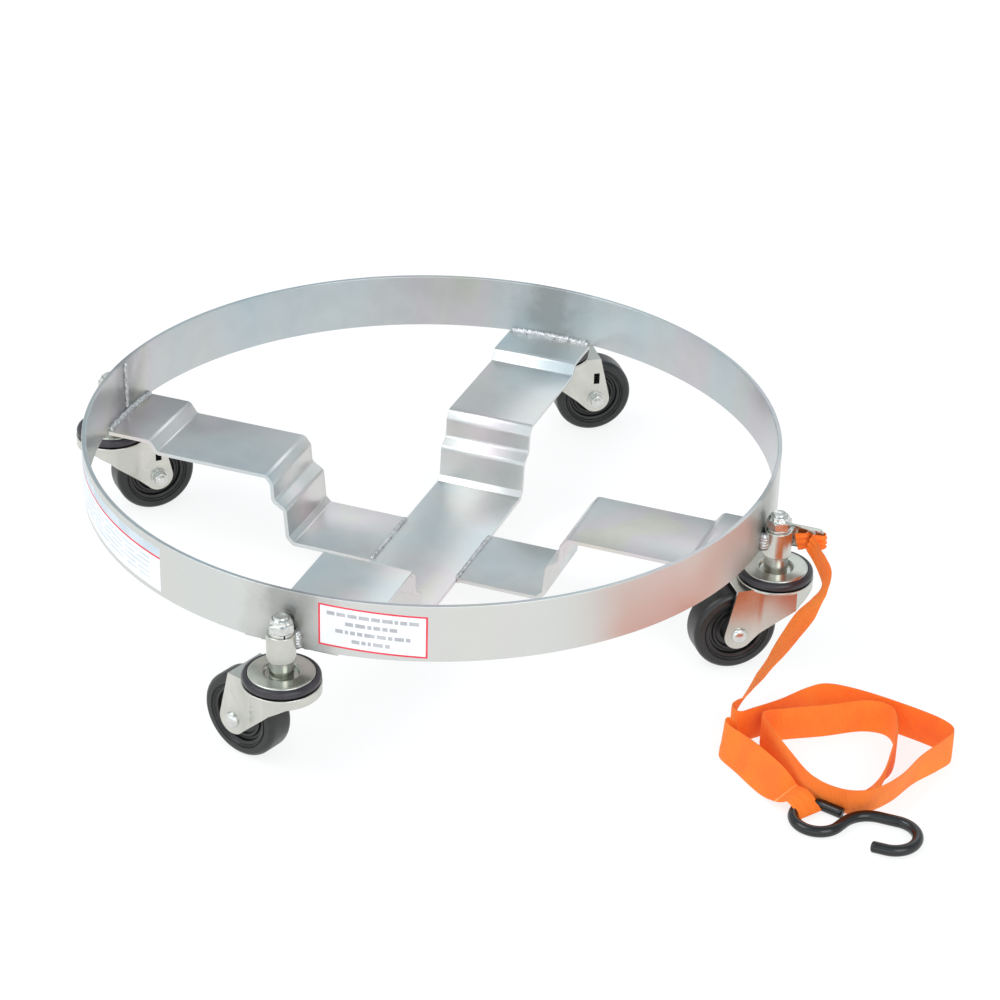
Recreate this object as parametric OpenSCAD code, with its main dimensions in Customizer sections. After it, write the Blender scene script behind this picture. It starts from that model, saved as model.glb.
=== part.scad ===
// Four-tier drum dolly: a rolled steel ring on a stepped cross of flat bar,
// carried by four stem casters, with a webbing tow strap and an S-hook.
// Frame: origin at the centre of the lowest tier's top face, +Z up,
// +X along the arm that carries the tow tab, +Y along the long cross bar.

/* [Ring] */
// Outside diameter of the rolled ring
ring_od = 755; // [700:1:900]
// Height of the ring's flat bar
ring_h = 63.5; // [50:0.5:90]
// Thickness of the ring's flat bar
ring_t = 4.8; // [3:0.1:6]

/* [Stepped cross] */
// Width of the flat bar of the cross
bar_w = 101.6; // [80:0.1:125]
// Thickness of the flat bar of the cross
bar_t = 4.8; // [3:0.1:6]
// Height of tier 1, the outer seat under the ring, above the lowest tier
tier_1_h = 91; // [85:0.5:110]
// Radius where tier 1 ends and the step down to tier 2 starts
tier_1_r = 318; // [315:1:330]
// Drop from tier 1 to tier 2
tier_2_drop = 12.5; // [8:0.5:16]
// Outer radius of tier 2
tier_2_r = 309; // [290:1:312]
// Drop from tier 1 to the outer edge of tier 3
tier_3_drop = 42.5; // [35:0.5:50]
// Outer radius of tier 3
tier_3_r = 166; // [150:1:180]
// How far tier 3 slopes down across its width
tier_3_slope = 9; // [5:0.5:14]
// Outer radius of the lowest tier
pan_r = 149; // [130:1:152]
// Outside radius of the sharper bends
bend_r = 7; // [5.5:0.5:9]

/* [Casters] */
// Diameter of the wheel
wheel_d = 92; // [75:1:105]
// Width of the wheel at its tread
wheel_w = 31.8; // [24:0.1:36]
// Height of the fork from the axle to the top of its crown
fork_h = 54.8; // [52:0.1:75]
// Distance from the swivel axis back to the axle
trail = 45.9; // [40:0.1:55]
// Diameter of the fork's crown
crown_d = 81.4; // [76:0.1:95]
// Thickness of the fork's sheet
fork_t = 3; // [2:0.1:4]
// Gap between the wheel's hub and each thrust washer
hub_gap = 0.5; // [0.4:0.1:1.5]
// How far the hub stands out past the tread on each side
hub_proud = 3.6; // [2:0.1:6]
// Diameter of the axle bolt
axle_d = 9.5; // [8:0.1:12]
// Diameter of the stem bolt
stem_d = 15.8; // [12:0.1:18]
// Outside diameter of the welded caster sleeve
sleeve_od = 30; // [26:0.5:36]
// Length of the welded caster sleeve
sleeve_h = 30; // [20:0.5:45]
// How far the sleeve reaches below the ring
sleeve_drop = 6.2; // [2:0.1:10]
// Length of the stem between the sleeve and the dish
collar_h = 20; // [14:0.5:30]
// Diameter of the bearing balls of the swivel
ball_d = 8; // [7:0.1:9]

/* [Tow tab] */
// Reach of the tow tab past the stem's axis
tab_reach = 44.6; // [42:0.1:60]
// Height of the tow tab
tab_h = 25.4; // [22:0.1:32]
// Thickness of the tow tab
tab_t = 4; // [3:0.1:6]
// Width of the tow strap
strap_w = 38; // [30:0.5:45]

/* [Hidden] */
$fn = 96;

zinc = "#c9cdd0";
zinc_warm = "#c6c7bd";
weld_grey = "#b4b6b8";
rubber = "#26262a";
webbing = "#f26a26";
eps = 0.01;
// Fineness of the ring's own circles, which small beads are cut against
ring_fn = 720;

// Casters, in the order front, left, back, right: where each stands round the
// ring, and which way its wheel trails, both as angles from +X
FRONT = 0;
LEFT = 1;
BACK = 2;
RIGHT = 3;
caster_angle = [-90, 180, 90, 0];
swivel_angle = [163, 46.5, 35, 218];

// Heights, worked down from the ring
ring_r = ring_od / 2;
ring_in_r = ring_r - ring_t;
ring_z = tier_1_h;
ring_top_z = ring_z + ring_h;
stem_r = ring_r + sleeve_od / 2;
sleeve_z = ring_z - sleeve_drop;
sleeve_top_z = sleeve_z + sleeve_h;
run_gap = 0.3;
dish_t = 2;
dish_sink = 5;
dish_rim_z = sleeve_z - collar_h + dish_sink;
crown_z = dish_rim_z - dish_t - run_gap - ball_d;
axle_z = crown_z - fork_h;
floor_z = axle_z - wheel_d / 2;

// Fork and axle
hub_half = wheel_w / 2 + hub_proud;
washer_t = 1;
leg_in = hub_half + hub_gap + washer_t;
leg_out = leg_in + fork_t;
boss_r = 16.5;
crown_hole_r = 10.5;
bush_r = 6.5;
bush_clear = 0.05;
axle_clear = 0.1;
axle_head_h = 5;
axle_head_r = 8.6;
nut_washer_t = 1.6;
axle_nut_h = 7;
axle_nut_af = 14.3;
axle_end = leg_out + nut_washer_t + axle_nut_h + 1.6;
leg_front_x = trail + 4;
leg_slot = [7, 14];
leg_slot_rise = 28;

// Stem, dish and bearing
stem_clear = 0.3;
collar_r = 12.5;
dish_r = 34.5;
dish_recess_r = 17;
dish_skirt = 3.5;
ball_count = 14;
ball_ring_r = 27;
lower_race_r = 18;
lower_race_t = 2.4;
lower_ball_d = 3.6;
stem_head_r = 12;
stem_head_h = 5;
lock_washer_t = 2.7;
stem_nut_h = 9.5;
stem_nut_af = 24;
nut_collar_h = 4.6;
nut_collar_r = 11.6;
stem_end = 2.3;
seal_out_r = crown_d / 2 - 0.6;
seal_clear = 0.5;

// Tow tab, beside the right caster's sleeve
tab_y = sleeve_od / 2;
tab_z = sleeve_top_z - tab_h - 1;
tab_slot_w = 8;
tab_slot_h = 17;
tab_bar_w = 10.6;
loop_t = 1.6;

// Labels: start and end angle round the ring, lower edge and height
label_t = 0.3;
front_label_span = [-85, -68.5];
front_label_h = 48;
front_label_lift = (ring_h - front_label_h) / 2;
side_label_span = [-160, -114.5];
side_label_h = 50;
side_label_lift = (ring_h - side_label_h) / 2;

// S-hook, lying on the ground: from the open bow's tip to the closed eye's end
hook_rod_r = 5.75;
hook_tip = [590, -304.5, -35];
hook_path = [[0, 12], [180, 25], [0, 19], [70, 32], [0, 12], [-160, 24], [0, 2],
  [-105, 20], [0, 18]];

// Tow strap: each point is [x, y, z, tilt, share], where tilt is 0 for a strap
// lying flat and 90 for one standing on its edge, and share is the part of its
// full width that it has there, less than 1 where it is gathered
strap_t = 2;
strap_steps = 2;
strap_route = [
  [424, 8, 101, 88, 0.5],
  [433, 1, 97, 88, 0.66],
  [443, -13, 93, 95, 0.89],
  [452, -27, 90, 90, 1],
  [457, -41, 85, 70, 1],
  [455, -53, 76, 45, 1],
  [447, -68, 62, 27, 1],
  [437, -87, 45, 28, 1],
  [427, -104, 27, 32, 1],
  [416, -119, 8, 38, 1],
  [407, -134, -8, 53, 1],
  [402, -150, -17, 70, 1],
  [402, -170, -19, 90, 1],
  [413, -179, -19, 90, 1],
  [425, -166, -19, 90, 1],
  [444, -138, -21, 90, 1],
  [463, -105, -22, 90, 1],
  [480, -89, -22, 90, 1],
  [512, -87, -22, 90, 1],
  [558, -94, -22, 90, 1],
  [604, -106, -22, 90, 1],
  [622, -121, -22, 90, 1],
  [615, -145, -22, 86, 1],
  [600, -178, -22, 80, 1],
  [588, -218, -22.5, 75, 1],
  [570, -248, -22.5, 72, 1],
  [546, -259, -22.6, 72, 1],
  [514, -250, -22.6, 74, 1],
  [478, -220, -21, 84, 1],
  [447, -189, -19, 90, 1],
  [436, -172, -18, 90, 1],
  [456, -155, -19, 90, 1],
  [490, -129, -22, 90, 1],
  [526, -104, -22, 90, 1],
  [553, -105, -22, 90, 1],
  [568, -138, -22, 90, 1],
  [572, -182, -20, 85, 1],
  [561, -228, -29, 35, 1],
  [529, -239, -38.4, 2, 1],
  [476, -213, -39.9, 0, 1],
  [437, -194, -38.2, 6, 1],
  [414, -186, -26.5, 45, 1],
  [402, -192, -22, 85, 1],
  [408, -207, -21.9, 75, 1],
  [434, -223, -23.6, 62, 1],
  [465, -243, -27.6, 42, 0.97],
  [486, -257, -30, 12, 0.85],
  [500, -263, -26.5, 0, 0.78],
  [512, -271, -31, 0, 0.74],
  [518, -275, -37, 0, 0.74]];

// ---------- helpers ----------

function unit(v) = v / norm(v);

// A point a distance d from p towards q
function towards(p, q, d) = p + unit(q - p) * d;

// The fillet of radius r at corner b of the path a-b-c, as arc points
function fillet(a, b, c, r) =
  let (
    u = unit(a - b),
    v = unit(c - b),
    half = acos(u * v) / 2,
    cut = r / tan(half),
    centre = b + unit(u + v) * r / sin(half),
    p = b + u * cut - centre,
    q = b + v * cut - centre,
    steps = 5
  )
  [for (i = [0 : steps]) centre + unit(p * (1 - i / steps) + q * i / steps) * r];

// An open path with each inner corner rounded by its own radius
function rounded(path, radii) =
  [path[0], for (i = [1 : len(path) - 2])
    each fillet(path[i - 1], path[i], path[i + 1], radii[i - 1]), path[len(path) - 1]];

// The path moved to its right by t
function beside(path, t) =
  let (n = len(path) - 1)
  [for (i = [0 : n])
    let (
      into = i == 0 ? unit(path[1] - path[0]) : unit(path[i] - path[i - 1]),
      out = i == n ? into : unit(path[i + 1] - path[i]),
      mid = unit(into + out),
      shift = t / (mid * out)
    )
    path[i] + [mid[1], -mid[0]] * shift];

function backwards(list) = [for (i = [len(list) - 1 : -1 : 0]) list[i]];

// Put a caster part at its stem, turned to its trailing direction
module at_caster(i) {
  rotate(caster_angle[i]) translate([stem_r, 0, 0])
    rotate(swivel_angle[i] - caster_angle[i]) children();
}

module at_stems() {
  for (angle = caster_angle) rotate(angle) translate([stem_r, 0, 0]) children();
}

module tube(r_out, r_in, h) {
  difference() {
    cylinder(r = r_out, h = h);
    translate([0, 0, -1]) cylinder(r = r_in, h = h + 2);
  }
}

// A hexagon nut with its corners turned down, bored through
module hex_nut(af, h, hole_r) {
  corner_r = af / 2 / cos(30);
  chamfer = (corner_r - af / 2) * 0.6;
  difference() {
    intersection() {
      cylinder(r = corner_r, h = h, $fn = 6);
      rotate_extrude() polygon([[0, 0], [af / 2, 0], [corner_r, chamfer],
        [corner_r, h - chamfer], [af / 2, h], [0, h]]);
    }
    translate([0, 0, -1]) cylinder(r = hole_r, h = h + 2);
  }
}

// ---------- ring and cross ----------

module ring() {
  color(zinc) translate([0, 0, ring_z]) tube(ring_r, ring_in_r, ring_h);
}

// The upper face of one arm, from the ring inwards, as [radius, height]
tier_2_z = tier_1_h - tier_2_drop;
tier_3_z = tier_1_h - tier_3_drop;
arm_end_r = sqrt(ring_r * ring_r - bar_w * bar_w / 4);
arm_face = [
  [arm_end_r, tier_1_h],
  [tier_1_r, tier_1_h],
  [tier_2_r, tier_2_z],
  [tier_3_r + 9, tier_2_z],
  [tier_3_r + 1.5, tier_2_z - 10],
  [tier_3_r, tier_3_z],
  [tier_3_r - 14, tier_3_z - tier_3_slope],
  [pan_r, 6],
  [pan_r - 6, 0],
  [0, 0]];
arm_radii = [bend_r, 3.5, 8, 8, 5.5, bend_r, 2, 2];
arm_top = rounded(arm_face, arm_radii);
arm_under = beside(arm_top, -bar_t);

// One arm from the ring in to radius from_r, along +X
module arm(from_r) {
  top = [for (p = arm_top) [max(p[0], from_r), p[1]]];
  under = [for (p = arm_under) [max(p[0], from_r), p[1]]];
  outline = concat(top, backwards(under));
  translate([0, bar_w / 2, 0]) rotate([90, 0, 0])
    linear_extrude(bar_w) polygon(outline);
}

module cross_bar() {
  color(zinc) union() {
    rotate(90) arm(0);
    rotate(-90) arm(0);
  }
}

module left_arm() {
  color(zinc) rotate(180) arm(bar_w / 2);
}

module right_arm() {
  color(zinc) arm(bar_w / 2);
}

// ---------- welds ----------

// Beads along both joints of the cross, on its underside
module centre_welds() {
  bead_r = 3.5;
  color(weld_grey) for (side = [-1, 1])
    translate([side * bar_w / 2, bar_w / 2, -bar_t]) rotate([90, 0, 0])
      difference() {
        cylinder(r = bead_r, h = bar_w, $fn = 32);
        translate([-bead_r - 1, 0, -1]) cube([2 * bead_r + 2, bead_r + 1, bar_w + 2]);
      }
}

// Fillets between each arm's end and the inside of the ring
module arm_end_welds() {
  leg = 5;
  half_turn = asin(bar_w / 2 / ring_in_r) - 0.05;
  color(weld_grey) for (angle = caster_angle)
    rotate(angle - half_turn) translate([0, 0, ring_z])
      rotate_extrude(angle = 2 * half_turn, $fn = 180)
        intersection() {
          translate([ring_in_r, 0]) circle(r = leg, $fn = 32);
          translate([ring_in_r - leg, 0]) square(leg);
        }
}

// The closing bead of the rolled ring, inside, above the left arm's end weld
module ring_seam_weld() {
  bead_r = 3;
  foot = 6;
  color(weld_grey) translate([0, 0, ring_z + foot]) linear_extrude(ring_h - foot - 1)
    intersection() {
      translate([-ring_in_r, 0]) circle(r = bead_r, $fn = 32);
      circle(r = ring_in_r, $fn = ring_fn);
    }
}

// Two upright beads in the corners between each sleeve and the ring
module sleeve_welds() {
  bead_r = 4.5;
  side_step = 10;
  set_in = 12.4;
  weld_h = sleeve_top_z - ring_z - 2;
  color(weld_grey) for (angle = caster_angle) for (side = [-1, 1])
    rotate(angle) translate([stem_r, 0, ring_z + 1]) linear_extrude(weld_h) difference() {
      translate([-set_in, side * side_step]) circle(r = bead_r, $fn = 32);
      circle(r = sleeve_od / 2);
      translate([-stem_r, 0]) circle(r = ring_r, $fn = ring_fn);
    }
}

// ---------- stems ----------

module caster_sleeves() {
  color(zinc_warm) at_stems() translate([0, 0, sleeve_z])
    tube(sleeve_od / 2, stem_d / 2 + stem_clear, sleeve_h);
}

stem_nut_z = sleeve_top_z + lock_washer_t;
stem_top_z = stem_nut_z + stem_nut_h + nut_collar_h + stem_end;
lower_race_z = crown_z - fork_t - run_gap - lower_ball_d - lower_race_t;

module stem_bolts() {
  chamfer = 1.2;
  r = stem_d / 2;
  color(zinc_warm) at_stems() rotate_extrude() polygon([
    [0, lower_race_z - stem_head_h], [stem_head_r - 2, lower_race_z - stem_head_h],
    [stem_head_r, lower_race_z - stem_head_h + 2], [stem_head_r, lower_race_z],
    [r, lower_race_z], [r, stem_top_z - chamfer], [r - chamfer, stem_top_z],
    [0, stem_top_z]]);
}

// Lock nuts, each with a ribbed collar on top
module stem_nuts() {
  rib_count = 12;
  groove_r = 0.9;
  taper = 1.6;
  sunk = 0.5;
  color(zinc_warm) at_stems() translate([0, 0, stem_nut_z]) {
    hex_nut(stem_nut_af, stem_nut_h, stem_d / 2);
    translate([0, 0, stem_nut_h - sunk]) difference() {
      cylinder(r1 = nut_collar_r, r2 = nut_collar_r - taper, h = nut_collar_h + sunk);
      translate([0, 0, -1]) cylinder(r = stem_d / 2, h = nut_collar_h + 3);
      for (i = [0 : rib_count - 1]) rotate(i * 360 / rib_count)
        translate([nut_collar_r - 0.2, 0, -1])
          cylinder(r = groove_r, h = nut_collar_h + 3, $fn = 24);
    }
  }
}

module lock_washers() {
  split_w = 1.6;
  washer_r = sleeve_od / 2 - 2;
  color(zinc_warm) at_stems() translate([0, 0, sleeve_top_z]) difference() {
    tube(washer_r, stem_d / 2 + stem_clear, lock_washer_t);
    rotate(40) translate([0, -split_w / 2, -1]) cube([washer_r + 1, split_w, lock_washer_t + 2]);
  }
}

module stem_collars() {
  color(zinc_warm) at_stems() translate([0, 0, sleeve_z - collar_h])
    tube(collar_r, stem_d / 2 + stem_clear, collar_h);
}

// Pressed dish that closes the swivel bearing from above
module top_dishes() {
  floor_top = sleeve_z - collar_h;
  slope = 2.5;
  under = dish_rim_z - dish_t;
  color(zinc_warm) at_stems() rotate_extrude() polygon([
    [stem_d / 2 + stem_clear, floor_top - dish_t], [dish_recess_r, floor_top - dish_t],
    [dish_recess_r + slope, under], [dish_r - dish_t, under],
    [dish_r - dish_t, under - dish_skirt], [dish_r, under - dish_skirt],
    [dish_r, dish_rim_z - 1.4], [dish_r - 0.5, dish_rim_z - 0.4],
    [dish_r - 1.6, dish_rim_z], [dish_recess_r + slope - 0.8, dish_rim_z],
    [dish_recess_r - 0.4, floor_top], [stem_d / 2 + stem_clear, floor_top]]);
}

module lower_races() {
  color(zinc_warm) at_stems() translate([0, 0, lower_race_z])
    tube(lower_race_r, stem_d / 2 + stem_clear, lower_race_t);
}

// ---------- swivelling fork ----------

// Outline of the fork seen from above, set in by t: round at the back, then
// drawn in to two straight legs that run on to x = reach
module fork_outline(t, reach) {
  r = crown_d / 2 - t;
  leg = leg_out - t;
  knee = 23;
  start = 104;
  tangent = r * [cos(start), sin(start)];
  intersection() {
    circle(r = r);
    translate([-r - 1, -r - 1]) square([r + 1 + tangent[0], 2 * r + 2]);
  }
  polygon([[reach, leg], [knee, leg], tangent, [tangent[0], -tangent[1]],
    [knee, -leg], [reach, -leg]]);
}

// Side view of the fork, in its own frame: x from the stem, y as height
module fork_side() {
  skirt_z = crown_z - 13.6;
  back_x = -crown_d / 2 - 1;
  front_x = leg_front_x;
  // where the boss meets the sloping rear edge and the front edge
  rear = [trail - boss_r * sin(50), axle_z - boss_r * cos(50)];
  fore = [trail + boss_r, axle_z];
  union() {
    polygon([[back_x, skirt_z + 3], [-30, skirt_z + 3], [-16, skirt_z - 5],
      rear, [trail, axle_z - boss_r + 2], fore, [front_x, crown_z], [back_x, crown_z]]);
    translate([trail, axle_z]) circle(r = boss_r, $fn = 64);
  }
}

module fork() {
  reach = trail + boss_r + 1;
  depth = crown_z - floor_z;
  color(zinc_warm) difference() {
    union() {
      intersection() {
        translate([0, 0, floor_z]) linear_extrude(depth) fork_outline(0, reach);
        translate([0, crown_d / 2 + 1, 0]) rotate([90, 0, 0])
          linear_extrude(crown_d + 2) fork_side();
      }
      // crown plate, with its full round rim
      translate([0, 0, crown_z - fork_t]) cylinder(r = crown_d / 2, h = fork_t);
    }
    // the hollow between the legs
    translate([0, 0, floor_z]) linear_extrude(depth - fork_t) fork_outline(fork_t, reach + 1);
    translate([0, 0, crown_z - fork_t - 1]) cylinder(r = crown_hole_r, h = fork_t + 2);
    translate([trail, leg_out + 1, axle_z]) rotate([90, 0, 0])
      cylinder(r = axle_d / 2 + axle_clear, h = 2 * leg_out + 2);
    // square hole in the leg on the nut's side
    translate([trail - leg_slot[0] / 2, -leg_out - 1, axle_z + leg_slot_rise - leg_slot[1] / 2])
      cube([leg_slot[0], fork_t + 2, leg_slot[1]]);
  }
}

// Rubber ring round the dish, sitting on the crown
module dust_seal() {
  in_r = dish_r + seal_clear;
  top_z = dish_rim_z - 0.8;
  height = top_z - crown_z;
  bulge = height / 2;
  color(rubber) rotate_extrude() union() {
    translate([in_r, crown_z]) square([seal_out_r - bulge / 2 - in_r, height]);
    intersection() {
      translate([seal_out_r - bulge, crown_z + bulge]) circle(r = bulge, $fn = 48);
      translate([seal_out_r - bulge, crown_z]) square([bulge + 1, height]);
    }
  }
}

// Upper and lower rings of bearing balls
module swivel_balls() {
  lower_count = 18;
  lower_ring_r = lower_race_r - 2.6;
  color("silver") {
    for (i = [0 : ball_count - 1]) rotate(i * 360 / ball_count)
      translate([ball_ring_r, 0, crown_z + ball_d / 2]) sphere(d = ball_d, $fn = 24);
    for (i = [0 : lower_count - 1]) rotate(i * 360 / lower_count)
      translate([lower_ring_r, 0, crown_z - fork_t - lower_ball_d / 2])
        sphere(d = lower_ball_d, $fn = 24);
  }
}

// ---------- wheel and axle, about the axle's line along Y ----------

module on_axle() {
  translate([trail, 0, axle_z]) rotate([-90, 0, 0]) children();
}

module axle_bolt() {
  edge = 1.8;
  r = axle_d / 2;
  color(zinc_warm) on_axle() rotate_extrude() polygon([
    [0, -axle_end], [r - 1, -axle_end], [r, -axle_end + 1], [r, leg_out],
    [axle_head_r, leg_out], [axle_head_r - 0.3, leg_out + edge],
    [axle_head_r - 2.2, leg_out + axle_head_h - 1.2],
    [axle_head_r - 5.2, leg_out + axle_head_h], [0, leg_out + axle_head_h]]);
}

module axle_nut() {
  color(zinc_warm) on_axle() {
    translate([0, 0, -leg_out - nut_washer_t]) tube(10, axle_d / 2, nut_washer_t);
    translate([0, 0, -leg_out - nut_washer_t - axle_nut_h])
      hex_nut(axle_nut_af, axle_nut_h, axle_d / 2);
  }
}

module axle_washers() {
  washer_r = 9.5;
  color(zinc_warm) on_axle() for (z = [-leg_in, leg_in - washer_t])
    translate([0, 0, z]) tube(washer_r, axle_d / 2 + axle_clear, washer_t);
}

// Half of the wheel's section, from the bore outwards: [radius, half width]
module wheel() {
  tread_r = wheel_d / 2;
  half_w = wheel_w / 2;
  web_half = half_w - 7.5;
  tread_corner = 6;
  half_section = concat(
    [[bush_r, 0], [bush_r, hub_half], [bush_r + 4.2, hub_half], [bush_r + 6, hub_half - 4],
      [tread_r * 0.36, web_half], [tread_r * 0.46, web_half],
      [tread_r * 0.48, web_half + 2.8], [tread_r * 0.54, web_half + 3.2],
      [tread_r * 0.56, web_half + 0.6], [tread_r * 0.62, web_half + 0.6],
      [tread_r * 0.64, half_w - 3], [tread_r * 0.70, half_w - 2.2],
      [tread_r * 0.72, half_w - 0.8], [tread_r * 0.76, half_w]],
    [for (a = [90 : -15 : 0])
      [tread_r - tread_corner + tread_corner * cos(a), half_w - tread_corner + tread_corner * sin(a)]],
    [[tread_r, 0]]);
  full_section = concat(half_section, [for (p = backwards(half_section)) [p[0], -p[1]]]);
  color(rubber) on_axle() rotate_extrude() polygon(full_section);
}

module hub_bush() {
  color("silver") on_axle() translate([0, 0, -hub_half])
    tube(bush_r, axle_d / 2 + bush_clear, 2 * hub_half);
}

// ---------- tow tab ----------

tab_slot_x = stem_r + tab_reach - tab_bar_w - tab_slot_w / 2;

module tow_tab() {
  corner = 6;
  slot_r = tab_slot_w / 2;
  slot_z = tab_z + tab_h / 2;
  color(zinc_warm) translate([0, tab_y + tab_t, 0]) rotate([90, 0, 0]) difference() {
    union() {
      translate([stem_r - 8, tab_z, 0]) cube([tab_reach + 8 - corner, tab_h, tab_t]);
      translate([stem_r + tab_reach - corner - eps, tab_z + corner, 0])
        cube([corner + eps, tab_h - 2 * corner, tab_t]);
      for (z = [tab_z + corner, tab_z + tab_h - corner])
        translate([stem_r + tab_reach - corner, z, 0]) cylinder(r = corner, h = tab_t);
    }
    for (side = [-1, 1]) translate([tab_slot_x, slot_z + side * (tab_slot_h / 2 - slot_r), -1])
      cylinder(r = slot_r, h = tab_t + 2);
    translate([tab_slot_x - slot_r, slot_z - tab_slot_h / 2 + slot_r, -1])
      cube([tab_slot_w, tab_slot_h - tab_slot_w, tab_t + 2]);
  }
}

module tow_tab_weld() {
  bead_r = 4;
  color(weld_grey) difference() {
    translate([stem_r + 9, tab_y - 2, tab_z + 1]) cylinder(r = bead_r, h = tab_h - 2, $fn = 32);
    translate([stem_r, 0, tab_z - 1]) cylinder(r = sleeve_od / 2, h = tab_h + 2);
    translate([stem_r - 20, tab_y, tab_z - 1]) cube([60, 20, tab_h + 2]);
  }
}

// ---------- labels ----------

module label(span, lift, h) {
  rotate(span[0]) translate([0, 0, ring_z + lift])
    rotate_extrude(angle = span[1] - span[0], $fn = 180)
      translate([ring_r, 0]) square([label_t, h]);
}

module front_label() {
  color("white") label(front_label_span, front_label_lift, front_label_h);
}

module side_label() {
  color("gainsboro") label(side_label_span, side_label_lift, side_label_h);
}

// ---------- tow strap and hook ----------

// Catmull-Rom between route points a and b, with p before and n after
function spline(p, a, b, n, t) =
  0.5 * (2 * a + (b - p) * t + (2 * p - 5 * a + 4 * b - n) * t * t
    + (3 * a - p - 3 * b + n) * t * t * t);

function smooth_route(route, steps) =
  let (last = len(route) - 1)
  [for (i = [0 : last - 1]) for (s = [0 : steps - 1])
    spline(route[max(i - 1, 0)], route[i], route[i + 1], route[min(i + 2, last)], s / steps),
    route[last]];

// A closed solid through rings of points, each listed the same way round
module swept(rings) {
  sides = len(rings[0]);
  last = len(rings) - 1;
  walls = [for (i = [0 : last - 1]) for (k = [0 : sides - 1])
    let (a = i * sides + k, b = i * sides + (k + 1) % sides)
    each [[a, b, a + sides], [b, b + sides, a + sides]]];
  start_cap = [for (k = [sides - 1 : -1 : 0]) k];
  end_cap = [for (k = [0 : sides - 1]) last * sides + k];
  polyhedron([for (r = rings) each r], concat([start_cap, end_cap], walls), convexity = 10);
}

// Eight corners of the strap's flat section, as [across, through] shares
strap_section = [[-1, -0.5], [-0.97, -1], [0.97, -1], [1, -0.5],
  [1, 0.5], [0.97, 1], [-0.97, 1], [-1, 0.5]];

function place(p) = [p[0], p[1], p[2]];

function strap_ring(line, i) =
  let (
    last = len(line) - 1,
    p = line[i],
    along = unit(place(line[min(i + 1, last)]) - place(line[max(i - 1, 0)])),
    flat = unit(cross([0, 0, 1], along)),
    upright = cross(along, flat),
    across = flat * cos(p[3]) + upright * sin(p[3]),
    through = cross(along, across)
  )
  [for (c = strap_section)
    place(p) + across * c[0] * p[4] * strap_w / 2 + through * c[1] * strap_t / 2];

module tow_strap() {
  line = smooth_route(strap_route, strap_steps);
  color(webbing) swept([for (i = [0 : len(line) - 1]) strap_ring(line, i)]);
}

// The strap's sewn loop through the tab's slot and round its outer bar
module strap_loop() {
  loop_h = tab_slot_h - 2;
  bar_x = stem_r + tab_reach - tab_bar_w;
  color(webbing) translate([0, 0, tab_z + (tab_h - loop_h) / 2]) difference() {
    translate([bar_x - loop_t, tab_y - loop_t, 0])
      cube([tab_bar_w + 2 * loop_t, tab_t + 2 * loop_t, loop_h]);
    translate([bar_x, tab_y, -1]) cube([tab_bar_w, tab_t, loop_h + 2]);
  }
}

// Centre line of a bent rod from step i of its path on, as [point, heading]
// pairs. Each step is [turn, size]: a straight of that length when turn is 0,
// and otherwise a bend of that radius, to the left if turn is positive.
function rod_line(path, p, heading, i = 0) =
  i == len(path) ? [[p, heading]] :
  let (
    turn = path[i][0],
    size = path[i][1],
    side = turn > 0 ? 1 : -1,
    steps = ceil(abs(turn) / 12),
    centre = p + side * size * [-sin(heading), cos(heading)],
    bent = function(a) centre + side * size * [sin(heading + a), -cos(heading + a)],
    end = turn == 0 ? p + size * [cos(heading), sin(heading)] : bent(turn)
  )
  concat([[p, heading]],
    [for (k = [1 : 1 : steps - 1]) [bent(turn * k / steps), heading + turn * k / steps]],
    rod_line(path, end, heading + turn, i + 1));

function rod_ring(p, heading, r, sides = 12) =
  [for (k = [0 : sides - 1]) let (a = k * 360 / sides)
    [p[0] - r * cos(a) * sin(heading), p[1] + r * cos(a) * cos(heading), r * sin(a)]];

module s_hook() {
  end_cut = 2;
  line = rod_line(hook_path, [0, 0], 0);
  first = line[0];
  final = line[len(line) - 1];
  before = first[0] - end_cut * [cos(first[1]), sin(first[1])];
  after = final[0] + end_cut * [cos(final[1]), sin(final[1])];
  color("#1d1d1f") translate(hook_tip) swept(concat(
    [rod_ring(before, first[1], hook_rod_r - end_cut)],
    [for (s = line) rod_ring(s[0], s[1], hook_rod_r)],
    [rod_ring(after, final[1], hook_rod_r - end_cut)]));
}

// ---------- assembly ----------

ring();
cross_bar();
left_arm();
right_arm();
centre_welds();
arm_end_welds();
ring_seam_weld();
sleeve_welds();
caster_sleeves();
stem_bolts();
stem_nuts();
lock_washers();
stem_collars();
top_dishes();
lower_races();
tow_tab();
tow_tab_weld();
front_label();
side_label();
tow_strap();
strap_loop();
s_hook();
at_caster(FRONT) fork();  // fork_front
at_caster(LEFT) fork();  // fork_left
at_caster(BACK) fork();  // fork_back
at_caster(RIGHT) fork();  // fork_right
at_caster(FRONT) dust_seal();  // dust_seal_front
at_caster(LEFT) dust_seal();  // dust_seal_left
at_caster(BACK) dust_seal();  // dust_seal_back
at_caster(RIGHT) dust_seal();  // dust_seal_right
at_caster(FRONT) swivel_balls();  // swivel_balls_front
at_caster(LEFT) swivel_balls();  // swivel_balls_left
at_caster(BACK) swivel_balls();  // swivel_balls_back
at_caster(RIGHT) swivel_balls();  // swivel_balls_right
at_caster(FRONT) axle_bolt();  // axle_bolt_front
at_caster(LEFT) axle_bolt();  // axle_bolt_left
at_caster(BACK) axle_bolt();  // axle_bolt_back
at_caster(RIGHT) axle_bolt();  // axle_bolt_right
at_caster(FRONT) axle_nut();  // axle_nut_front
at_caster(LEFT) axle_nut();  // axle_nut_left
at_caster(BACK) axle_nut();  // axle_nut_back
at_caster(RIGHT) axle_nut();  // axle_nut_right
at_caster(FRONT) axle_washers();  // axle_washers_front
at_caster(LEFT) axle_washers();  // axle_washers_left
at_caster(BACK) axle_washers();  // axle_washers_back
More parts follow.
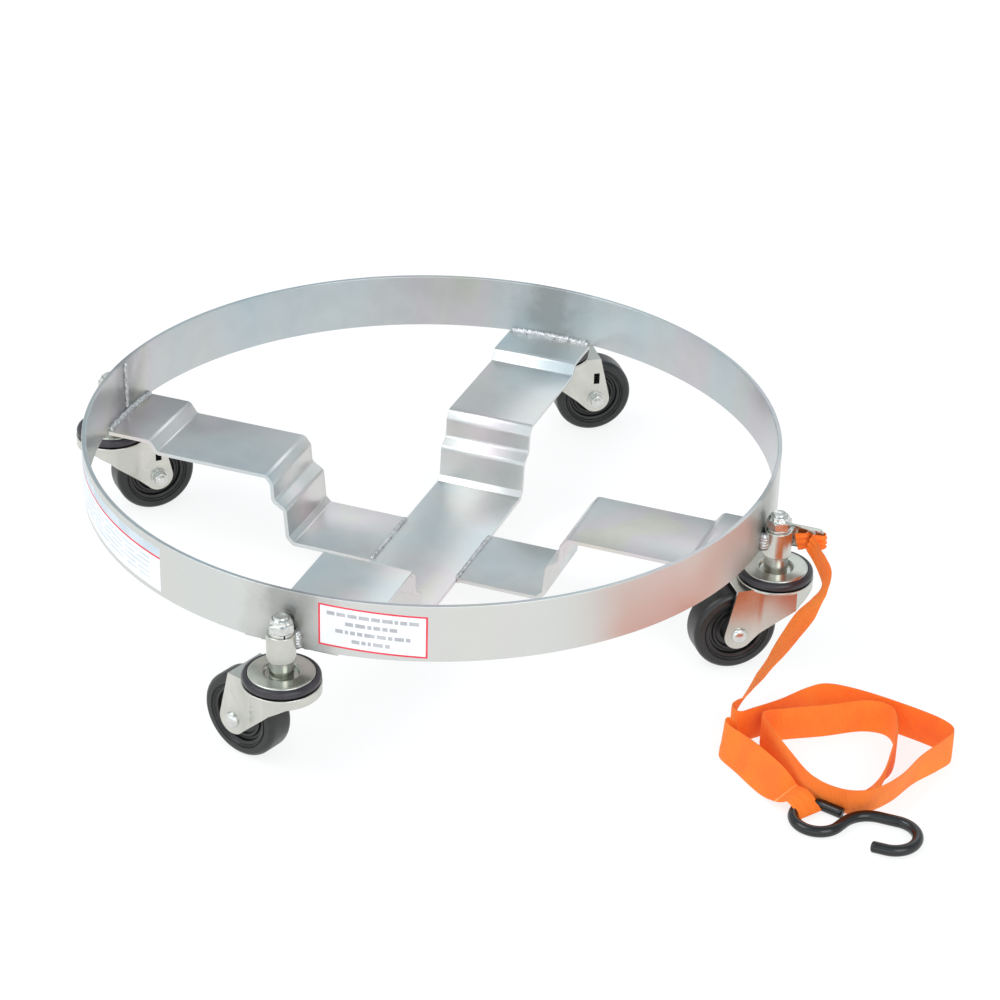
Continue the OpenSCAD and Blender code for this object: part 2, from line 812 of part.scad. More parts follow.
at_caster(RIGHT) axle_washers();  // axle_washers_right
at_caster(FRONT) wheel();  // wheel_front
at_caster(LEFT) wheel();  // wheel_left
at_caster(BACK) wheel();  // wheel_back
at_caster(RIGHT) wheel();  // wheel_right
at_caster(FRONT) hub_bush();  // hub_bush_front
at_caster(LEFT) hub_bush();  // hub_bush_left
at_caster(BACK) hub_bush();  // hub_bush_back
at_caster(RIGHT) hub_bush();  // hub_bush_right
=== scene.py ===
import random
from math import acos, asin, cos, degrees, dist, pi, radians, sin, sqrt, tan, tau

import bmesh
import bpy
from mathutils import Matrix, Vector, noise


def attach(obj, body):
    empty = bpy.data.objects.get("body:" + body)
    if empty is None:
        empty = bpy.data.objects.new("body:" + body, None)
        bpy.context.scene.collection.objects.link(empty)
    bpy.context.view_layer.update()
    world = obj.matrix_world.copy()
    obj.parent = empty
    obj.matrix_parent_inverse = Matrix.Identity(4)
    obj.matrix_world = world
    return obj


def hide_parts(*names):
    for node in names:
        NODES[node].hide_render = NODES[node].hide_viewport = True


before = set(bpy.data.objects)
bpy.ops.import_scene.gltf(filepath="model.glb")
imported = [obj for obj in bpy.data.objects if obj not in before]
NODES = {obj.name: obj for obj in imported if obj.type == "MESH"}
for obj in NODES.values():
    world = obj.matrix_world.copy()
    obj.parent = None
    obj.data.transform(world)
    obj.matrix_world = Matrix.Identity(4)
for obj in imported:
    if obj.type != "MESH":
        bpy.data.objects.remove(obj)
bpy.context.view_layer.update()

MM = 0.001
SCENE = bpy.context.scene
CASTERS = ("front", "left", "back", "right")

# ---- sizes, mm
RING_R = 377.5
RING_T = 4.8
RING_IN_R = RING_R - RING_T
RING_Z = 91.0
RING_H = 63.5
RING_TOP = RING_Z + RING_H
BAR_W = 101.6
BAR_T = 4.8
STEM_R = 392.5
SLEEVE_R = 15.0
SLEEVE_Z = 84.8
SLEEVE_TOP = 114.8
FLOOR_Z = -41.3
TRAIL = 45.9
CROWN_Z = 59.5
AXLE_Z = 4.7
LEG_OUT = 24.0
FORK_T = 3.0
FORK_BACK = -43
CROWN_R = 40.7
# how far inside a face of the ring its plating still counts as on that face
FACE_SLACK = 0.6
# the webbing's width and thickness, and its weave
STRAP_W = 38.0
STRAP_T = 1.5
RIB_PITCH = 2.1
YARN_PITCH = 1.6


# ---- materials
def fill_ramp(node, stops):
    """Sets a ramp's stops, each a place with a colour or a grey."""
    points = node.color_ramp.elements
    while len(points) < len(stops):
        points.new(0.5)
    for point, (at, colour) in zip(points, stops):
        if not hasattr(colour, "__len__"):
            colour = (colour, colour, colour)
        point.position, point.color = at, (*colour, 1.0)


class Shader:
    """A node tree with one Principled shader, built up node by node."""

    def __init__(self, name, **values):
        self.material = bpy.data.materials.new(name)
        self.material.use_nodes = True
        self.tree = self.material.node_tree
        self.tree.nodes.clear()
        self.out = self.tree.nodes.new("ShaderNodeOutputMaterial")
        self.bsdf = self.tree.nodes.new("ShaderNodeBsdfPrincipled")
        self.tree.links.new(self.bsdf.outputs["BSDF"], self.out.inputs["Surface"])
        for key, value in values.items():
            self.bsdf.inputs[key.replace("_", " ")].default_value = value
        self.place = self.node("TexCoord").outputs["Object"]

    def node(self, kind, **values):
        made = self.tree.nodes.new("ShaderNode" + kind)
        for key, value in values.items():
            setattr(made, key, value)
        return made

    def link(self, source, target):
        self.tree.links.new(source, target)

    def into(self, name, source):
        self.link(source, self.bsdf.inputs[name])

    def scaled(self, source, scale, move=(0, 0, 0)):
        mapping = self.node("Mapping")
        mapping.inputs["Scale"].default_value = scale
        mapping.inputs["Location"].default_value = move
        self.link(source, mapping.inputs["Vector"])
        return mapping.outputs["Vector"]

    def noise(self, source, scale, detail=2.0, rough=0.5, twist=0.0):
        made = self.node("TexNoise")
        values = {"Scale": scale, "Detail": detail, "Roughness": rough, "Distortion": twist}
        for key, value in values.items():
            made.inputs[key].default_value = value
        self.link(source, made.inputs["Vector"])
        return made.outputs["Fac"]

    def ramp(self, source, stops):
        made = self.node("ValToRGB")
        made.color_ramp.interpolation = "EASE"
        fill_ramp(made, stops)
        self.link(source, made.inputs["Fac"])
        return made.outputs["Color"]

    def maths(self, operation, a, b=0.0):
        made = self.node("Math", operation=operation)
        for socket, value in zip(made.inputs, (a, b, 0.0)):
            if isinstance(value, bpy.types.NodeSocket):
                self.link(value, socket)
            else:
                socket.default_value = value
        return made.outputs[0]

    def plus(self, a, b):
        return self.maths("ADD", a, b)

    def times(self, a, b):
        return self.maths("MULTIPLY", a, b)

    def hypot(self, a, b):
        return self.maths("SQRT", self.plus(self.times(a, a), self.times(b, b)))

    def mix(self, share, a, b, blend="MIX"):
        made = self.node("Mix", data_type="RGBA", blend_type=blend)
        sockets = {s.identifier: s for s in made.inputs}
        for name, value in (("Factor_Float", share), ("A_Color", a), ("B_Color", b)):
            if isinstance(value, bpy.types.NodeSocket):
                self.link(value, sockets[name])
            elif hasattr(value, "__len__"):
                sockets[name].default_value = (*value, 1.0)
            else:
                sockets[name].default_value = value
        return next(s for s in made.outputs if s.identifier == "Result_Color")

    def ranged(self, name, source, low, high):
        """An input that goes from low to high as the source does from 0.3 to 0.7."""
        self.into(name, self.ramp(source, [(0.3, low), (0.7, high)]))

    def bump(self, height, distance, strength):
        made = self.node("Bump")
        made.inputs["Distance"].default_value = distance
        made.inputs["Strength"].default_value = strength
        self.link(height, made.inputs["Height"])
        self.into("Normal", made.outputs["Normal"])

    def axes(self, source):
        parts = self.node("SeparateXYZ")
        self.link(source, parts.inputs[0])
        return parts.outputs


def zinc_plate(name, painted_light_gain):
    """Clear zinc on bar: faint colour bands inside, plainer outside the ring, grey by the sleeves."""
    s = Shader(name, Metallic=1.0)
    broad = s.noise(s.scaled(s.place, (1.0, 1.0, 0.35)), 7.0, 2.0, 0.5, 0.5)
    bands = [
        (0.30, (0.47, 0.56, 0.60)),
        (0.42, (0.51, 0.57, 0.59)),
        (0.52, (0.54, 0.57, 0.57)),
        (0.62, (0.57, 0.55, 0.58)),
        (0.72, (0.57, 0.58, 0.52)),
    ]
    # painted_light_gain scales the whole colour; above 1 it makes a lit copy of the same zinc, which is
    # painted light
    tint = s.mix(1.0, s.ramp(broad, bands), painted_light_gain, "MULTIPLY")
    cloud = s.noise(s.place, 38.0, 4.0, 0.6, 0.3)
    greys = s.ramp(cloud, [(0.3, (0.48, 0.49, 0.50)), (0.7, (0.68, 0.69, 0.70))])
    clouded = s.mix(0.16, tint, greys)
    x, y, _ = s.axes(s.place)
    from_middle = s.hypot(x, y)
    outside = s.maths("GREATER_THAN", from_middle, (RING_R - FACE_SLACK) * MM)
    plated = s.mix(outside, clouded, s.mix(0.75, clouded, (0.68, 0.68, 0.645)))
    across, along = s.maths("ABSOLUTE", x), s.maths("ABSOLUTE", y)
    far = s.maths("SUBTRACT", s.maths("MAXIMUM", across, along), RING_R * MM)
    from_sleeve = s.hypot(far, s.maths("MINIMUM", across, along))
    ragged = s.plus(from_sleeve, s.times(cloud, 0.05))
    heat = s.ramp(ragged, [(0.034, 0.62), (0.062, 0.20), (0.085, 0.0)])
    on_ring = s.maths("GREATER_THAN", from_middle, (RING_IN_R - FACE_SLACK) * MM)
    s.into("Base Color", s.mix(s.times(heat, on_ring), plated, (0.26, 0.26, 0.25)))
    fine = s.noise(s.place, 420.0, 3.0, 0.6)
    rough = s.plus(s.plus(s.times(cloud, 0.14), s.times(fine, 0.08)), 0.22)
    s.into("Roughness", s.plus(rough, s.times(outside, 0.10)))
    s.bump(s.plus(s.times(cloud, 1.5), fine), 0.00008, 0.4)
    return s.material


def zinc_hardware():
    """Zinc on pressed and turned caster parts, satin and faintly straw coloured."""
    s = Shader("zinc_hardware", Metallic=1.0)
    broad = s.noise(s.place, 22.0, 3.0, 0.55, 0.4)
    warm = [(0.32, (0.50, 0.51, 0.46)), (0.5, (0.58, 0.58, 0.53)), (0.66, (0.64, 0.63, 0.58))]
    s.into("Base Color", s.ramp(broad, warm))
    fine = s.noise(s.place, 300.0, 3.0, 0.6)
    s.into("Roughness", s.plus(s.plus(s.times(broad, 0.14), s.times(fine, 0.08)), 0.13))
    s.bump(fine, 0.00002, 0.35)
    return s.material


def fastener_zinc():
    s = Shader("fastener_zinc", Metallic=1.0)
    spots = s.noise(s.place, 160.0, 3.0, 0.55)
    s.into("Base Color", s.ramp(spots, [(0.3, (0.56, 0.57, 0.54)), (0.6, (0.68, 0.68, 0.66))]))
    s.into("Roughness", s.plus(s.times(spots, 0.16), 0.16))
    s.bump(spots, 0.00001, 0.2)
    return s.material


def weld_bead():
    s = Shader("weld_bead", Metallic=0.95)
    spots = s.noise(s.place, 260.0, 4.0, 0.65)
    greys = [(0.3, (0.33, 0.33, 0.33)), (0.5, (0.58, 0.58, 0.58)), (0.7, (0.80, 0.80, 0.81))]
    s.into("Base Color", s.ramp(spots, greys))
    s.ranged("Roughness", spots, 0.48, 0.22)
    s.bump(spots, 0.0004, 0.6)
    return s.material


def bearing_steel():
    s = Shader("bearing_steel", Metallic=1.0)
    spots = s.noise(s.place, 90.0, 2.0)
    s.ranged("Base Color", spots, (0.60, 0.60, 0.61), (0.74, 0.74, 0.75))
    s.ranged("Roughness", spots, 0.12, 0.26)
    return s.material


def dark_polymer(name, dark, light, low, high, grain, depth):
    """Moulded black rubber or plastic, a little dusty, with a fine moulded grain."""
    s = Shader(name, Specular_IOR_Level=0.55)
    dust = s.noise(s.place, 38.0, 5.0, 0.65)
    s.into("Base Color", s.ramp(dust, [(0.35, dark), (0.72, light)]))
    s.ranged("Roughness", dust, low, high)
    s.bump(s.noise(s.place, grain, 3.0, 0.6), depth, 0.5)
    return s.material


def webbing():
    """Orange woven webbing: crosswise ribs with a fine yarn weave, by the strap's own measures."""
    s = Shader("webbing", Sheen_Weight=0.25, Sheen_Roughness=0.45)
    s.bsdf.inputs["Sheen Tint"].default_value = (1.0, 0.55, 0.30, 1.0)
    cloth = s.node("UVMap", uv_map="cloth")
    along, over, _ = s.axes(cloth.outputs["UV"])
    rib = s.maths("SINE", s.times(along, tau / (RIB_PITCH * MM)))
    lane = s.maths("SINE", s.times(over, tau / (YARN_PITCH * MM)))
    yarn = s.times(rib, lane)
    patch = s.noise(s.place, 24.0, 3.0)
    oranges = [
        (0.25, (0.94, 0.150, 0.006)), (0.5, (1.0, 0.195, 0.010)), (0.75, (1.0, 0.250, 0.022)),
    ]
    s.into("Base Color", s.ramp(s.plus(s.times(s.plus(yarn, rib), 0.10), patch), oranges))
    s.ranged("Roughness", patch, 0.62, 0.80)
    s.bump(s.plus(s.times(yarn, 0.7), s.times(rib, 0.5)), 0.00022, 0.8)
    return s.material


def printed(name, dark, light, rough=0.42):
    """Thin printed film, very slightly uneven."""
    s = Shader(name, Specular_IOR_Level=0.45)
    patch = s.noise(s.place, 60.0, 3.0)
    s.ranged("Base Color", patch, dark, light)
    s.ranged("Roughness", patch, rough, rough + 0.12)
    return s.material


MATERIALS = {
    "zinc_plate": zinc_plate("zinc_plate", (1.0, 1.0, 1.0)),
    # zinc_bar is zinc_plate with painted light: its gain brightens the whole cross, standing for the
    # floor mirrored in its risers and treads
    "zinc_bar": zinc_plate("zinc_bar", (1.25, 1.17, 1.13)),
    "zinc_hardware": zinc_hardware(),
    "fastener_zinc": fastener_zinc(),
    "weld_bead": weld_bead(),
    "bearing_steel": bearing_steel(),
    "wheel_rubber": dark_polymer(
        "wheel_rubber", (0.006, 0.006, 0.006), (0.015, 0.015, 0.015), 0.26, 0.44, 900.0, 0.00005
    ),
    "seal_rubber": dark_polymer(
        "seal_rubber", (0.018, 0.015, 0.020), (0.036, 0.031, 0.040), 0.30, 0.44, 1400.0, 0.00003
    ),
    "hook_vinyl": dark_polymer(
        "hook_vinyl", (0.004, 0.004, 0.004), (0.010, 0.010, 0.011), 0.16, 0.30, 260.0, 0.00010
    ),
    "webbing": webbing(),
    "label_film": printed("label_film", (0.80, 0.80, 0.83), (0.87, 0.87, 0.89)),
    "red_print": printed("red_print", (0.70, 0.035, 0.06), (0.80, 0.055, 0.085)),
    "grey_print": printed("grey_print", (0.40, 0.40, 0.42), (0.50, 0.50, 0.52)),
    "blue_print": printed("blue_print", (0.52, 0.60, 0.66), (0.62, 0.70, 0.76)),
    "stitching": printed("stitching", (0.95, 0.36, 0.10), (1.0, 0.46, 0.18), 0.7),
}


# ---- mesh tools
def piece(name, verts, faces, slot, body, replaces=(), place=None, smooth=35.0, also=(), marks=None):
    """A new mesh object from points in millimetres, riding on a body."""
    mesh = bpy.data.meshes.new(name)
    mesh.from_pydata([tuple(v) for v in verts], [], faces)
    obj = bpy.data.objects.new(name, mesh)
    SCENE.collection.objects.link(obj)
    mesh.transform(Matrix.Scale(MM, 4))
    if place is not None:
        mesh.transform(place)
    mesh.materials.append(MATERIALS[slot])
    for other in also:
        mesh.materials.append(MATERIALS[other])
    if marks is not None:
        mesh.polygons.foreach_set("material_index", marks)
    finish_mesh(mesh, smooth)
    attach(obj, body)
    # the cross's zinc_bar is the ring's zinc made brighter: painted light, standing for the bright
    # floor its risers and treads mirror
    if replaces:
        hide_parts(*replaces)
    return obj


def on_frame(name, part, slot, node, smooth=35.0):
    """A piece of the frame in place of one CAD node."""
    return piece(name, *part, slot, "frame", [node], smooth=smooth)


def finish_mesh(mesh, smooth):
    """Outward normals, smooth faces, and sharp edges where the surface turns further than that."""
    bm = bmesh.new()
    bm.from_mesh(mesh)
    bmesh.ops.recalc_face_normals(bm, faces=bm.faces)
    limit = radians(smooth)
    for face in bm.faces:
        face.smooth = True
    for edge in bm.edges:
        if len(edge.link_faces) == 2 and edge.calc_face_angle(0.0) > limit:
            edge.smooth = False
    bm.to_mesh(mesh)
    bm.free()


def turned(angle, axis="Z"):
    """A turn by an angle in degrees."""
    return Matrix.Rotation(radians(angle), 4, axis)


def at_angle(r, a, z):
    return r * cos(a), r * sin(a), z


def arc(x, y, rx, ry, angles):
    """Points of an oval about (x, y), at angles in degrees."""
    turns = [radians(a) for a in angles]
    return [(x + rx * cos(a), y + ry * sin(a)) for a in turns]


def band(i, j, n):
    """Quads between loops i and j, of n points each."""
    return [(i * n + k, i * n + (k + 1) % n, j * n + (k + 1) % n, j * n + k) for k in range(n)]


def skin(loops, n):
    """Faces through loops of n points each, with both ends closed."""
    faces = [quad for i in range(loops - 1) for quad in band(i, i + 1, n)]
    return faces + [tuple(range(n - 1, -1, -1)), tuple(range((loops - 1) * n, loops * n))]


def softened(section, radius, steps=4):
    """A closed section with corners rounded by up to radius, held by a point beyond each round."""
    made = []
    count = len(section)
    for i, here in enumerate(section):
        here = Vector(here)
        before, after = Vector(section[i - 1]) - here, Vector(section[(i + 1) % count]) - here
        turn = pi - before.angle(after)
        if turn < radians(12) or min(before.length, after.length) < 1e-4:
            made.append(here)
            continue
        cut = min(radius * tan(turn / 2), 0.38 * before.length, 0.38 * after.length)
        start, end = here + before.normalized() * cut, here + after.normalized() * cut
        made.append(here + before.normalized() * cut * 1.25)
        for k in range(steps + 1):
            t = k / steps
            made.append(start.lerp(here, t).lerp(here.lerp(end, t), t))
        made.append(here + after.normalized() * cut * 1.25)
    return made


def lathe(section, segments=96, span=360.0, start=0.0):
    """Points and faces of a closed (radius, height) section turned about Z."""
    whole = abs(span - 360.0) < 1e-6
    rows = segments if whole else segments + 1
    verts, faces = [], []
    for i in range(rows):
        a = radians(start + span * i / segments)
        verts += [at_angle(p[0], a, p[1]) for p in section]
    n = len(section)
    for i in range(segments):
        faces += band(i, (i + 1) % rows, n)
    if not whole:
        faces += [tuple(range(n)), tuple(range((rows - 1) * n + n - 1, (rows - 1) * n - 1, -1))]
    return verts, faces


def box_section(r0, r1, z0, z1, radius):
    """Rounded section of a tube from r0 to r1 and z0 to z1."""
    return softened([(r0, z0), (r1, z0), (r1, z1), (r0, z1)], radius)


def solid_lathe(section, segments=64):
    """A turned solid whose open section starts and ends on the axis."""
    verts, faces = [], []
    inner = section[1:-1]
    n = len(inner)
    for i in range(segments):
        a = tau * i / segments
        verts += [at_angle(p[0], a, p[1]) for p in inner]
    verts += [(0, 0, section[0][1]), (0, 0, section[-1][1])]
    low, high = segments * n, segments * n + 1
    for i in range(segments):
        j = (i + 1) % segments
        faces += [(i * n + k, i * n + k + 1, j * n + k + 1, j * n + k) for k in range(n - 1)]
        faces += [(low, i * n, j * n), (high, j * n + n - 1, i * n + n - 1)]
    return verts, faces


def tube_along(line, frames, section):
    """Skin of a section, given for each point as (across, through) offsets, swept along a line."""
    verts = []
    for i, (p, (across, through)) in enumerate(zip(line, frames)):
        verts += [p + across * u + through * v for u, v in section(i)]
    return verts, skin(len(line), len(section(0)))


def merged(parts):
    verts, faces = [], []
    for v, f in parts:
        base = len(verts)
        verts += list(v)
        faces += [tuple(k + base for k in face) for face in f]
    return verts, faces


def moved(part, matrix):
    return [matrix @ Vector(v) for v in part[0]], part[1]


def catmull(points, steps):
    """A smooth line through points, which are lists of any length."""
    last = len(points) - 1
    made = []
    for i in range(last):
        p, a, b, n = (points[max(i - 1, 0)], points[i], points[i + 1], points[min(i + 2, last)])
        for k in range(steps):
            t = k / steps
            row = []
            for j in range(len(a)):
                square = (2 * p[j] - 5 * a[j] + 4 * b[j] - n[j]) * t * t
                cube = (3 * a[j] - p[j] - 3 * b[j] + n[j]) * t**3
                row.append(0.5 * (2 * a[j] + (b[j] - p[j]) * t + square + cube))
            made.append(row)
    made.append(list(points[last]))
    return made


def polar(rows, segments=120):
    """A turned solid of closed rows, each a function of the angle that gives (radius, height)."""
    verts, faces = [], []
    for i in range(segments):
        a = tau * i / segments
        for row in rows:
            r, z = row(a)
            verts.append(at_angle(r, a, z))
        faces += band(i, (i + 1) % segments, len(rows))
    return verts, faces


def prism(outline, low, high):
    """An outline in X and Y, raised from low to high."""
    return [(p[0], p[1], z) for z in (low, high) for p in outline], skin(2, len(outline))


def scratch_solid(part):
    mesh = bpy.data.meshes.new("scratch")
    mesh.from_pydata([tuple(v) for v in part[0]], [], part[1])
    bm = bmesh.new()
    bm.from_mesh(mesh)
    bmesh.ops.recalc_face_normals(bm, faces=bm.faces)
    bm.to_mesh(mesh)
    bm.free()
    obj = bpy.data.objects.new("scratch", mesh)
    SCENE.collection.objects.link(obj)
    return obj


def carved(part, steps, bevel=0.0):
    """A part after each (operation, other part) in turn, with its sharp edges turned down."""
    obj = scratch_solid(part)
    tools = []
    for operation, other in steps:
        tools.append(scratch_solid(other))
        change = obj.modifiers.new("change", "BOOLEAN")
        change.operation, change.solver, change.object = operation, "EXACT", tools[-1]
    if bevel:
        edge = obj.modifiers.new("edge", "BEVEL")
        edge.width, edge.segments, edge.limit_method = bevel, 2, "ANGLE"
        edge.angle_limit = radians(50)
    graph = bpy.context.evaluated_depsgraph_get()
    mesh = bpy.data.meshes.new_from_object(obj.evaluated_get(graph))
    made = [v.co.copy() for v in mesh.vertices], [tuple(p.vertices) for p in mesh.polygons]
    bpy.data.meshes.remove(mesh)
    for used in [obj] + tools:
        bpy.data.objects.remove(used)
    return made


def resampled(rows, step):
    """Rows of numbers again, with their first three values about step apart."""
    along = [0.0]
    for a, b in zip(rows, rows[1:]):
        along.append(along[-1] + dist(a[:3], b[:3]))
    count = max(2, round(along[-1] / step))
    made, i = [], 0
    for k in range(count + 1):
        at = along[-1] * k / count
        while i < len(along) - 2 and along[i + 1] < at:
            i += 1
        t = (at - along[i]) / max(along[i + 1] - along[i], 1e-9)
        made.append([a + (b - a) * t for a, b in zip(rows[i], rows[i + 1])])
    return made, along[-1]


def bead(line, radius, seed, sides=14):
    """A lumpy weld bead laid along a line, in ripples, and rounded off at both ends."""
    rows, length = resampled([list(p) for p in line], 0.8)
    count = len(rows) - 1
    frames = []
    for i in range(len(rows)):
        ahead = (Vector(rows[min(i + 1, count)]) - Vector(rows[max(i - 1, 0)])).normalized()
        side = ahead.cross(Vector((0.31, 0.17, 0.93)) if abs(ahead.z) < 0.8 else Vector((1, 0.2, 0)))
        side.normalize()
        frames.append((side, ahead.cross(side)))

    def section(i):
        at = length * i / count
        end = min(1.0, min(at, length - at) / radius + 0.12)
        swell = sqrt(max(0.05, 1 - (1 - end) ** 2)) * (1 + 0.07 * sin(tau * at / 3.1))
        made = []
        for k in range(sides):
            a = tau * k / sides
            spot = Vector((at * 0.22 + seed * 7.3, 1.3 * cos(a), 1.3 * sin(a)))
            r = radius * swell * (1 + 0.26 * noise.noise(spot) + 0.12 * noise.noise(spot * 3.1))
            made.append((r * cos(a), r * sin(a)))
        return made

    return tube_along([Vector(r) for r in rows], frames, section)


# ---- camera
def make_camera():
    """A long lens, 28 degrees above the horizon and 22 degrees to the left of the tow tab's arm."""
    distance, height, roll = 3.2701, radians(28.10), radians(0.820)
    pan, tilt, turn = 0.02222, -0.02505, radians(21.9)
    spot = Vector((0, -distance * cos(height), distance * sin(height)))
    forward = -spot.normalized()
    right = forward.cross(Vector((0, 0, 1))).normalized()
    up = right.cross(forward)
    right, up = (
        right * cos(roll) + up * sin(roll),
        up * cos(roll) - right * sin(roll),
    )
    aim = (forward + right * pan + up * tilt).normalized()
    side = (right - aim * right.dot(aim)).normalized()
    top = side.cross(aim)
    round_z = Matrix.Rotation(turn, 4, "Z")
    matrix = Matrix((side, top, -aim)).transposed().to_4x4()
    matrix.translation = spot
    data = bpy.data.cameras.new("camera")
    data.lens, data.sensor_width = 108.72, 36.0
    data.clip_start, data.clip_end = 0.05, 50.0
    camera = bpy.data.objects.new("camera", data)
    camera.matrix_world = Matrix.Translation((0, 0, RING_TOP * MM)) @ round_z @ matrix
    SCENE.collection.objects.link(camera)
    SCENE.camera = camera


make_camera()

# ---- tow strap
# x, y, z, tilt from flat in degrees, share of the full width
STRAP_ROUTE = [
    (424, 8, 101, 88, 0.5), (433, 1, 97, 88, 0.66), (443, -13, 93, 95, 0.89),
    (452, -27, 90, 90, 1), (457, -41, 85, 70, 1), (455, -53, 76, 45, 1),
    (447, -68, 62, 27, 1), (437, -87, 45, 28, 1), (427, -104, 27, 32, 1),
    (416, -119, 8, 38, 1), (407, -134, -8, 53, 1), (402, -150, -17, 70, 1),
    (402, -170, -19, 90, 1), (413, -179, -19, 90, 1), (425, -166, -19, 90, 1),
    (444, -138, -21, 90, 1), (463, -105, -22, 90, 1), (480, -89, -22, 90, 1),
    (512, -87, -22, 90, 1), (558, -94, -22, 90, 1), (604, -106, -22, 90, 1),
    (622, -121, -22, 90, 1), (615, -145, -22, 86, 1), (600, -178, -22, 80, 1),
    (588, -218, -22.5, 75, 1), (570, -248, -22.5, 72, 1), (546, -259, -22.6, 72, 1),
    (514, -250, -22.6, 74, 1), (478, -220, -21, 84, 1), (447, -189, -19, 90, 1),
    (436, -172, -18, 90, 1), (456, -155, -19, 90, 1), (490, -129, -22, 90, 1),
    (526, -104, -22, 90, 1), (553, -105, -22, 90, 1), (568, -138, -22, 90, 1),
    (572, -182, -20, 85, 1), (561, -228, -29, 35, 1), (529, -239, -38.4, 2, 1),
    (476, -213, -39.9, 0, 1), (437, -194, -38.2, 6, 1), (414, -186, -26.5, 45, 1),
    (402, -192, -22, 85, 1), (408, -207, -21.9, 75, 1), (434, -223, -23.6, 62, 1),
    (465, -243, -27.6, 42, 0.97), (486, -257, -30, 12, 0.85), (500, -263, -26.5, 0, 0.78),
    (512, -271, -31, 0, 0.74), (518, -275, -37, 0, 0.74),
]


def ribbon_frames(rows):
    """Across and through directions of a ribbon: level across the line, tilted about it."""
    frames = []
    last = len(rows) - 1
    for i, row in enumerate(rows):
        ahead = Vector(rows[min(i + 1, last)][:3]) - Vector(rows[max(i - 1, 0)][:3])
        ahead.normalize()
        flat = Vector((0, 0, 1)).cross(ahead).normalized()
        upright = ahead.cross(flat)
        tilt = radians(row[3])
        across = flat * cos(tilt) + upright * sin(tilt)
        frames.append((across, ahead.cross(across)))
    return frames


def make_ribbon(name, route, replaced, stitches=()):
    """Ribbed webbing along a route, thinner at its selvedges and folded where it is gathered."""
    rows, length = resampled(catmull([list(p) for p in route], 16), 0.7)
    frames = ribbon_frames(rows)
    columns, rib, selvedge = 11, 0.10, 0.14
    step = length / (len(rows) - 1)

    def section(i):
        half, thick = rows[i][4] * STRAP_W / 2, STRAP_T / 2
        swell = rib * sin(tau * i * step / RIB_PITCH)
        gather = (1 - rows[i][4]) * 2.2
        made = []
        for side in (-1, 1):
            for k in range(columns):
                u = -1 + 2 * k / (columns - 1)
                edge = max(0.0, abs(u) - (1 - selvedge)) / selvedge
                v = thick * (1 - 0.45 * edge * edge) + swell * (1 - edge)
                fold = gather * sin(u * 3 * pi)
                made.append((-side * u * half, side * v + fold))
        return made

    line = [Vector(r[:3]) for r in rows]
    verts, faces = tube_along(line, frames, section)
    per_ring = 2 * columns
    marks = []
    for face in faces:
        at = length - min(face) // per_ring * step
        sewn = any(abs(at - stitch) < step * 0.8 for stitch in stitches)
        marks.append(1 if sewn and len(face) == 4 else 0)
    also = ["stitching"]
    made = piece(name, verts, faces, "webbing", "frame", replaced, smooth=60, also=also, marks=marks)
    cloth = made.data.uv_layers.new(name="cloth")
    for polygon in made.data.polygons:
        for loop, vertex in zip(polygon.loop_indices, polygon.vertices):
            i, k = divmod(vertex, per_ring)
            over = (k % columns) / (columns - 1) * STRAP_W * rows[i][4]
            cloth.data[loop].uv = (i * step * MM, over * MM)
    return made, line, length


SEWN_AT = 39
strap, strap_line, strap_length = make_ribbon(
    "tow_strap_webbing", STRAP_ROUTE, ["tow_strap"], (SEWN_AT,)
)

# ---- hook
HOOK_R = 5.75
HOOK_TIP = Vector((590, -304.5, -35))
HOOK_PATH = [
    (0, 12), (180, 25), (0, 19), (70, 32), (0, 12), (-160, 24), (0, 2), (-105, 20), (0, 18),
]


def rod_points(path, step_deg=4.0, step_len=2.0):
    """Points of a bent rod in its own plane, each with its heading in degrees."""
    p, heading = Vector((0, 0)), 0.0
    made = [(p.copy(), heading)]
    for turn, size in path:
        if turn == 0:
            steps = max(1, round(size / step_len))
            ahead = Vector((cos(radians(heading)), sin(radians(heading))))
            made += [(p + ahead * size * k / steps, heading) for k in range(1, steps + 1)]
        else:
            side = 1 if turn > 0 else -1
            steps = max(1, round(abs(turn) / step_deg))
            h = radians(heading)
            centre = p + Vector((-sin(h), cos(h))) * side * size
            for k in range(1, steps + 1):
                a = h + radians(turn * k / steps)
                made.append((centre + Vector((sin(a), -cos(a))) * side * size, degrees(a)))
            heading += turn
        p = made[-1][0]
    return made


def make_hook():
    """The bent rod, dipped in vinyl: a little uneven, with rounded ends."""
    points = rod_points(HOOK_PATH)
    sides, dome = 28, 2.6
    caps = []
    for at, sign in ((0, -1), (len(points) - 1, 1)):
        p, heading = points[at]
        ahead = Vector((cos(radians(heading)), sin(radians(heading))))
        cap = [
            (p + ahead * sign * dome * sin(a), heading, cos(a) * 0.62 + 0.38)
            for a in (radians(t) for t in (18, 36, 54, 70, 82))
        ]
        caps.append(cap + [(p + ahead * sign * dome, heading, 0.15)])
    profile = caps[0][::-1] + [(p, heading, 1.0) for p, heading in points] + caps[1]
    verts = []
    for i, (p, heading, share) in enumerate(profile):
        h = radians(heading)
        side = Vector((-sin(h), cos(h), 0))
        for k in range(sides):
            a = tau * k / sides
            dip = 1 + 0.008 * noise.noise(Vector((i * 0.11, cos(a), sin(a))))
            out = HOOK_R * share * dip
            up = Vector((0, 0, sin(a) * out))
            verts.append(HOOK_TIP + p.to_3d() + side * cos(a) * out + up)
    faces = skin(len(profile), sides)
    return on_frame("s_hook_coated", (verts, faces), "hook_vinyl", "s_hook", 50)


hook = make_hook()

# ---- ring and cross
BEND_STEPS = 8


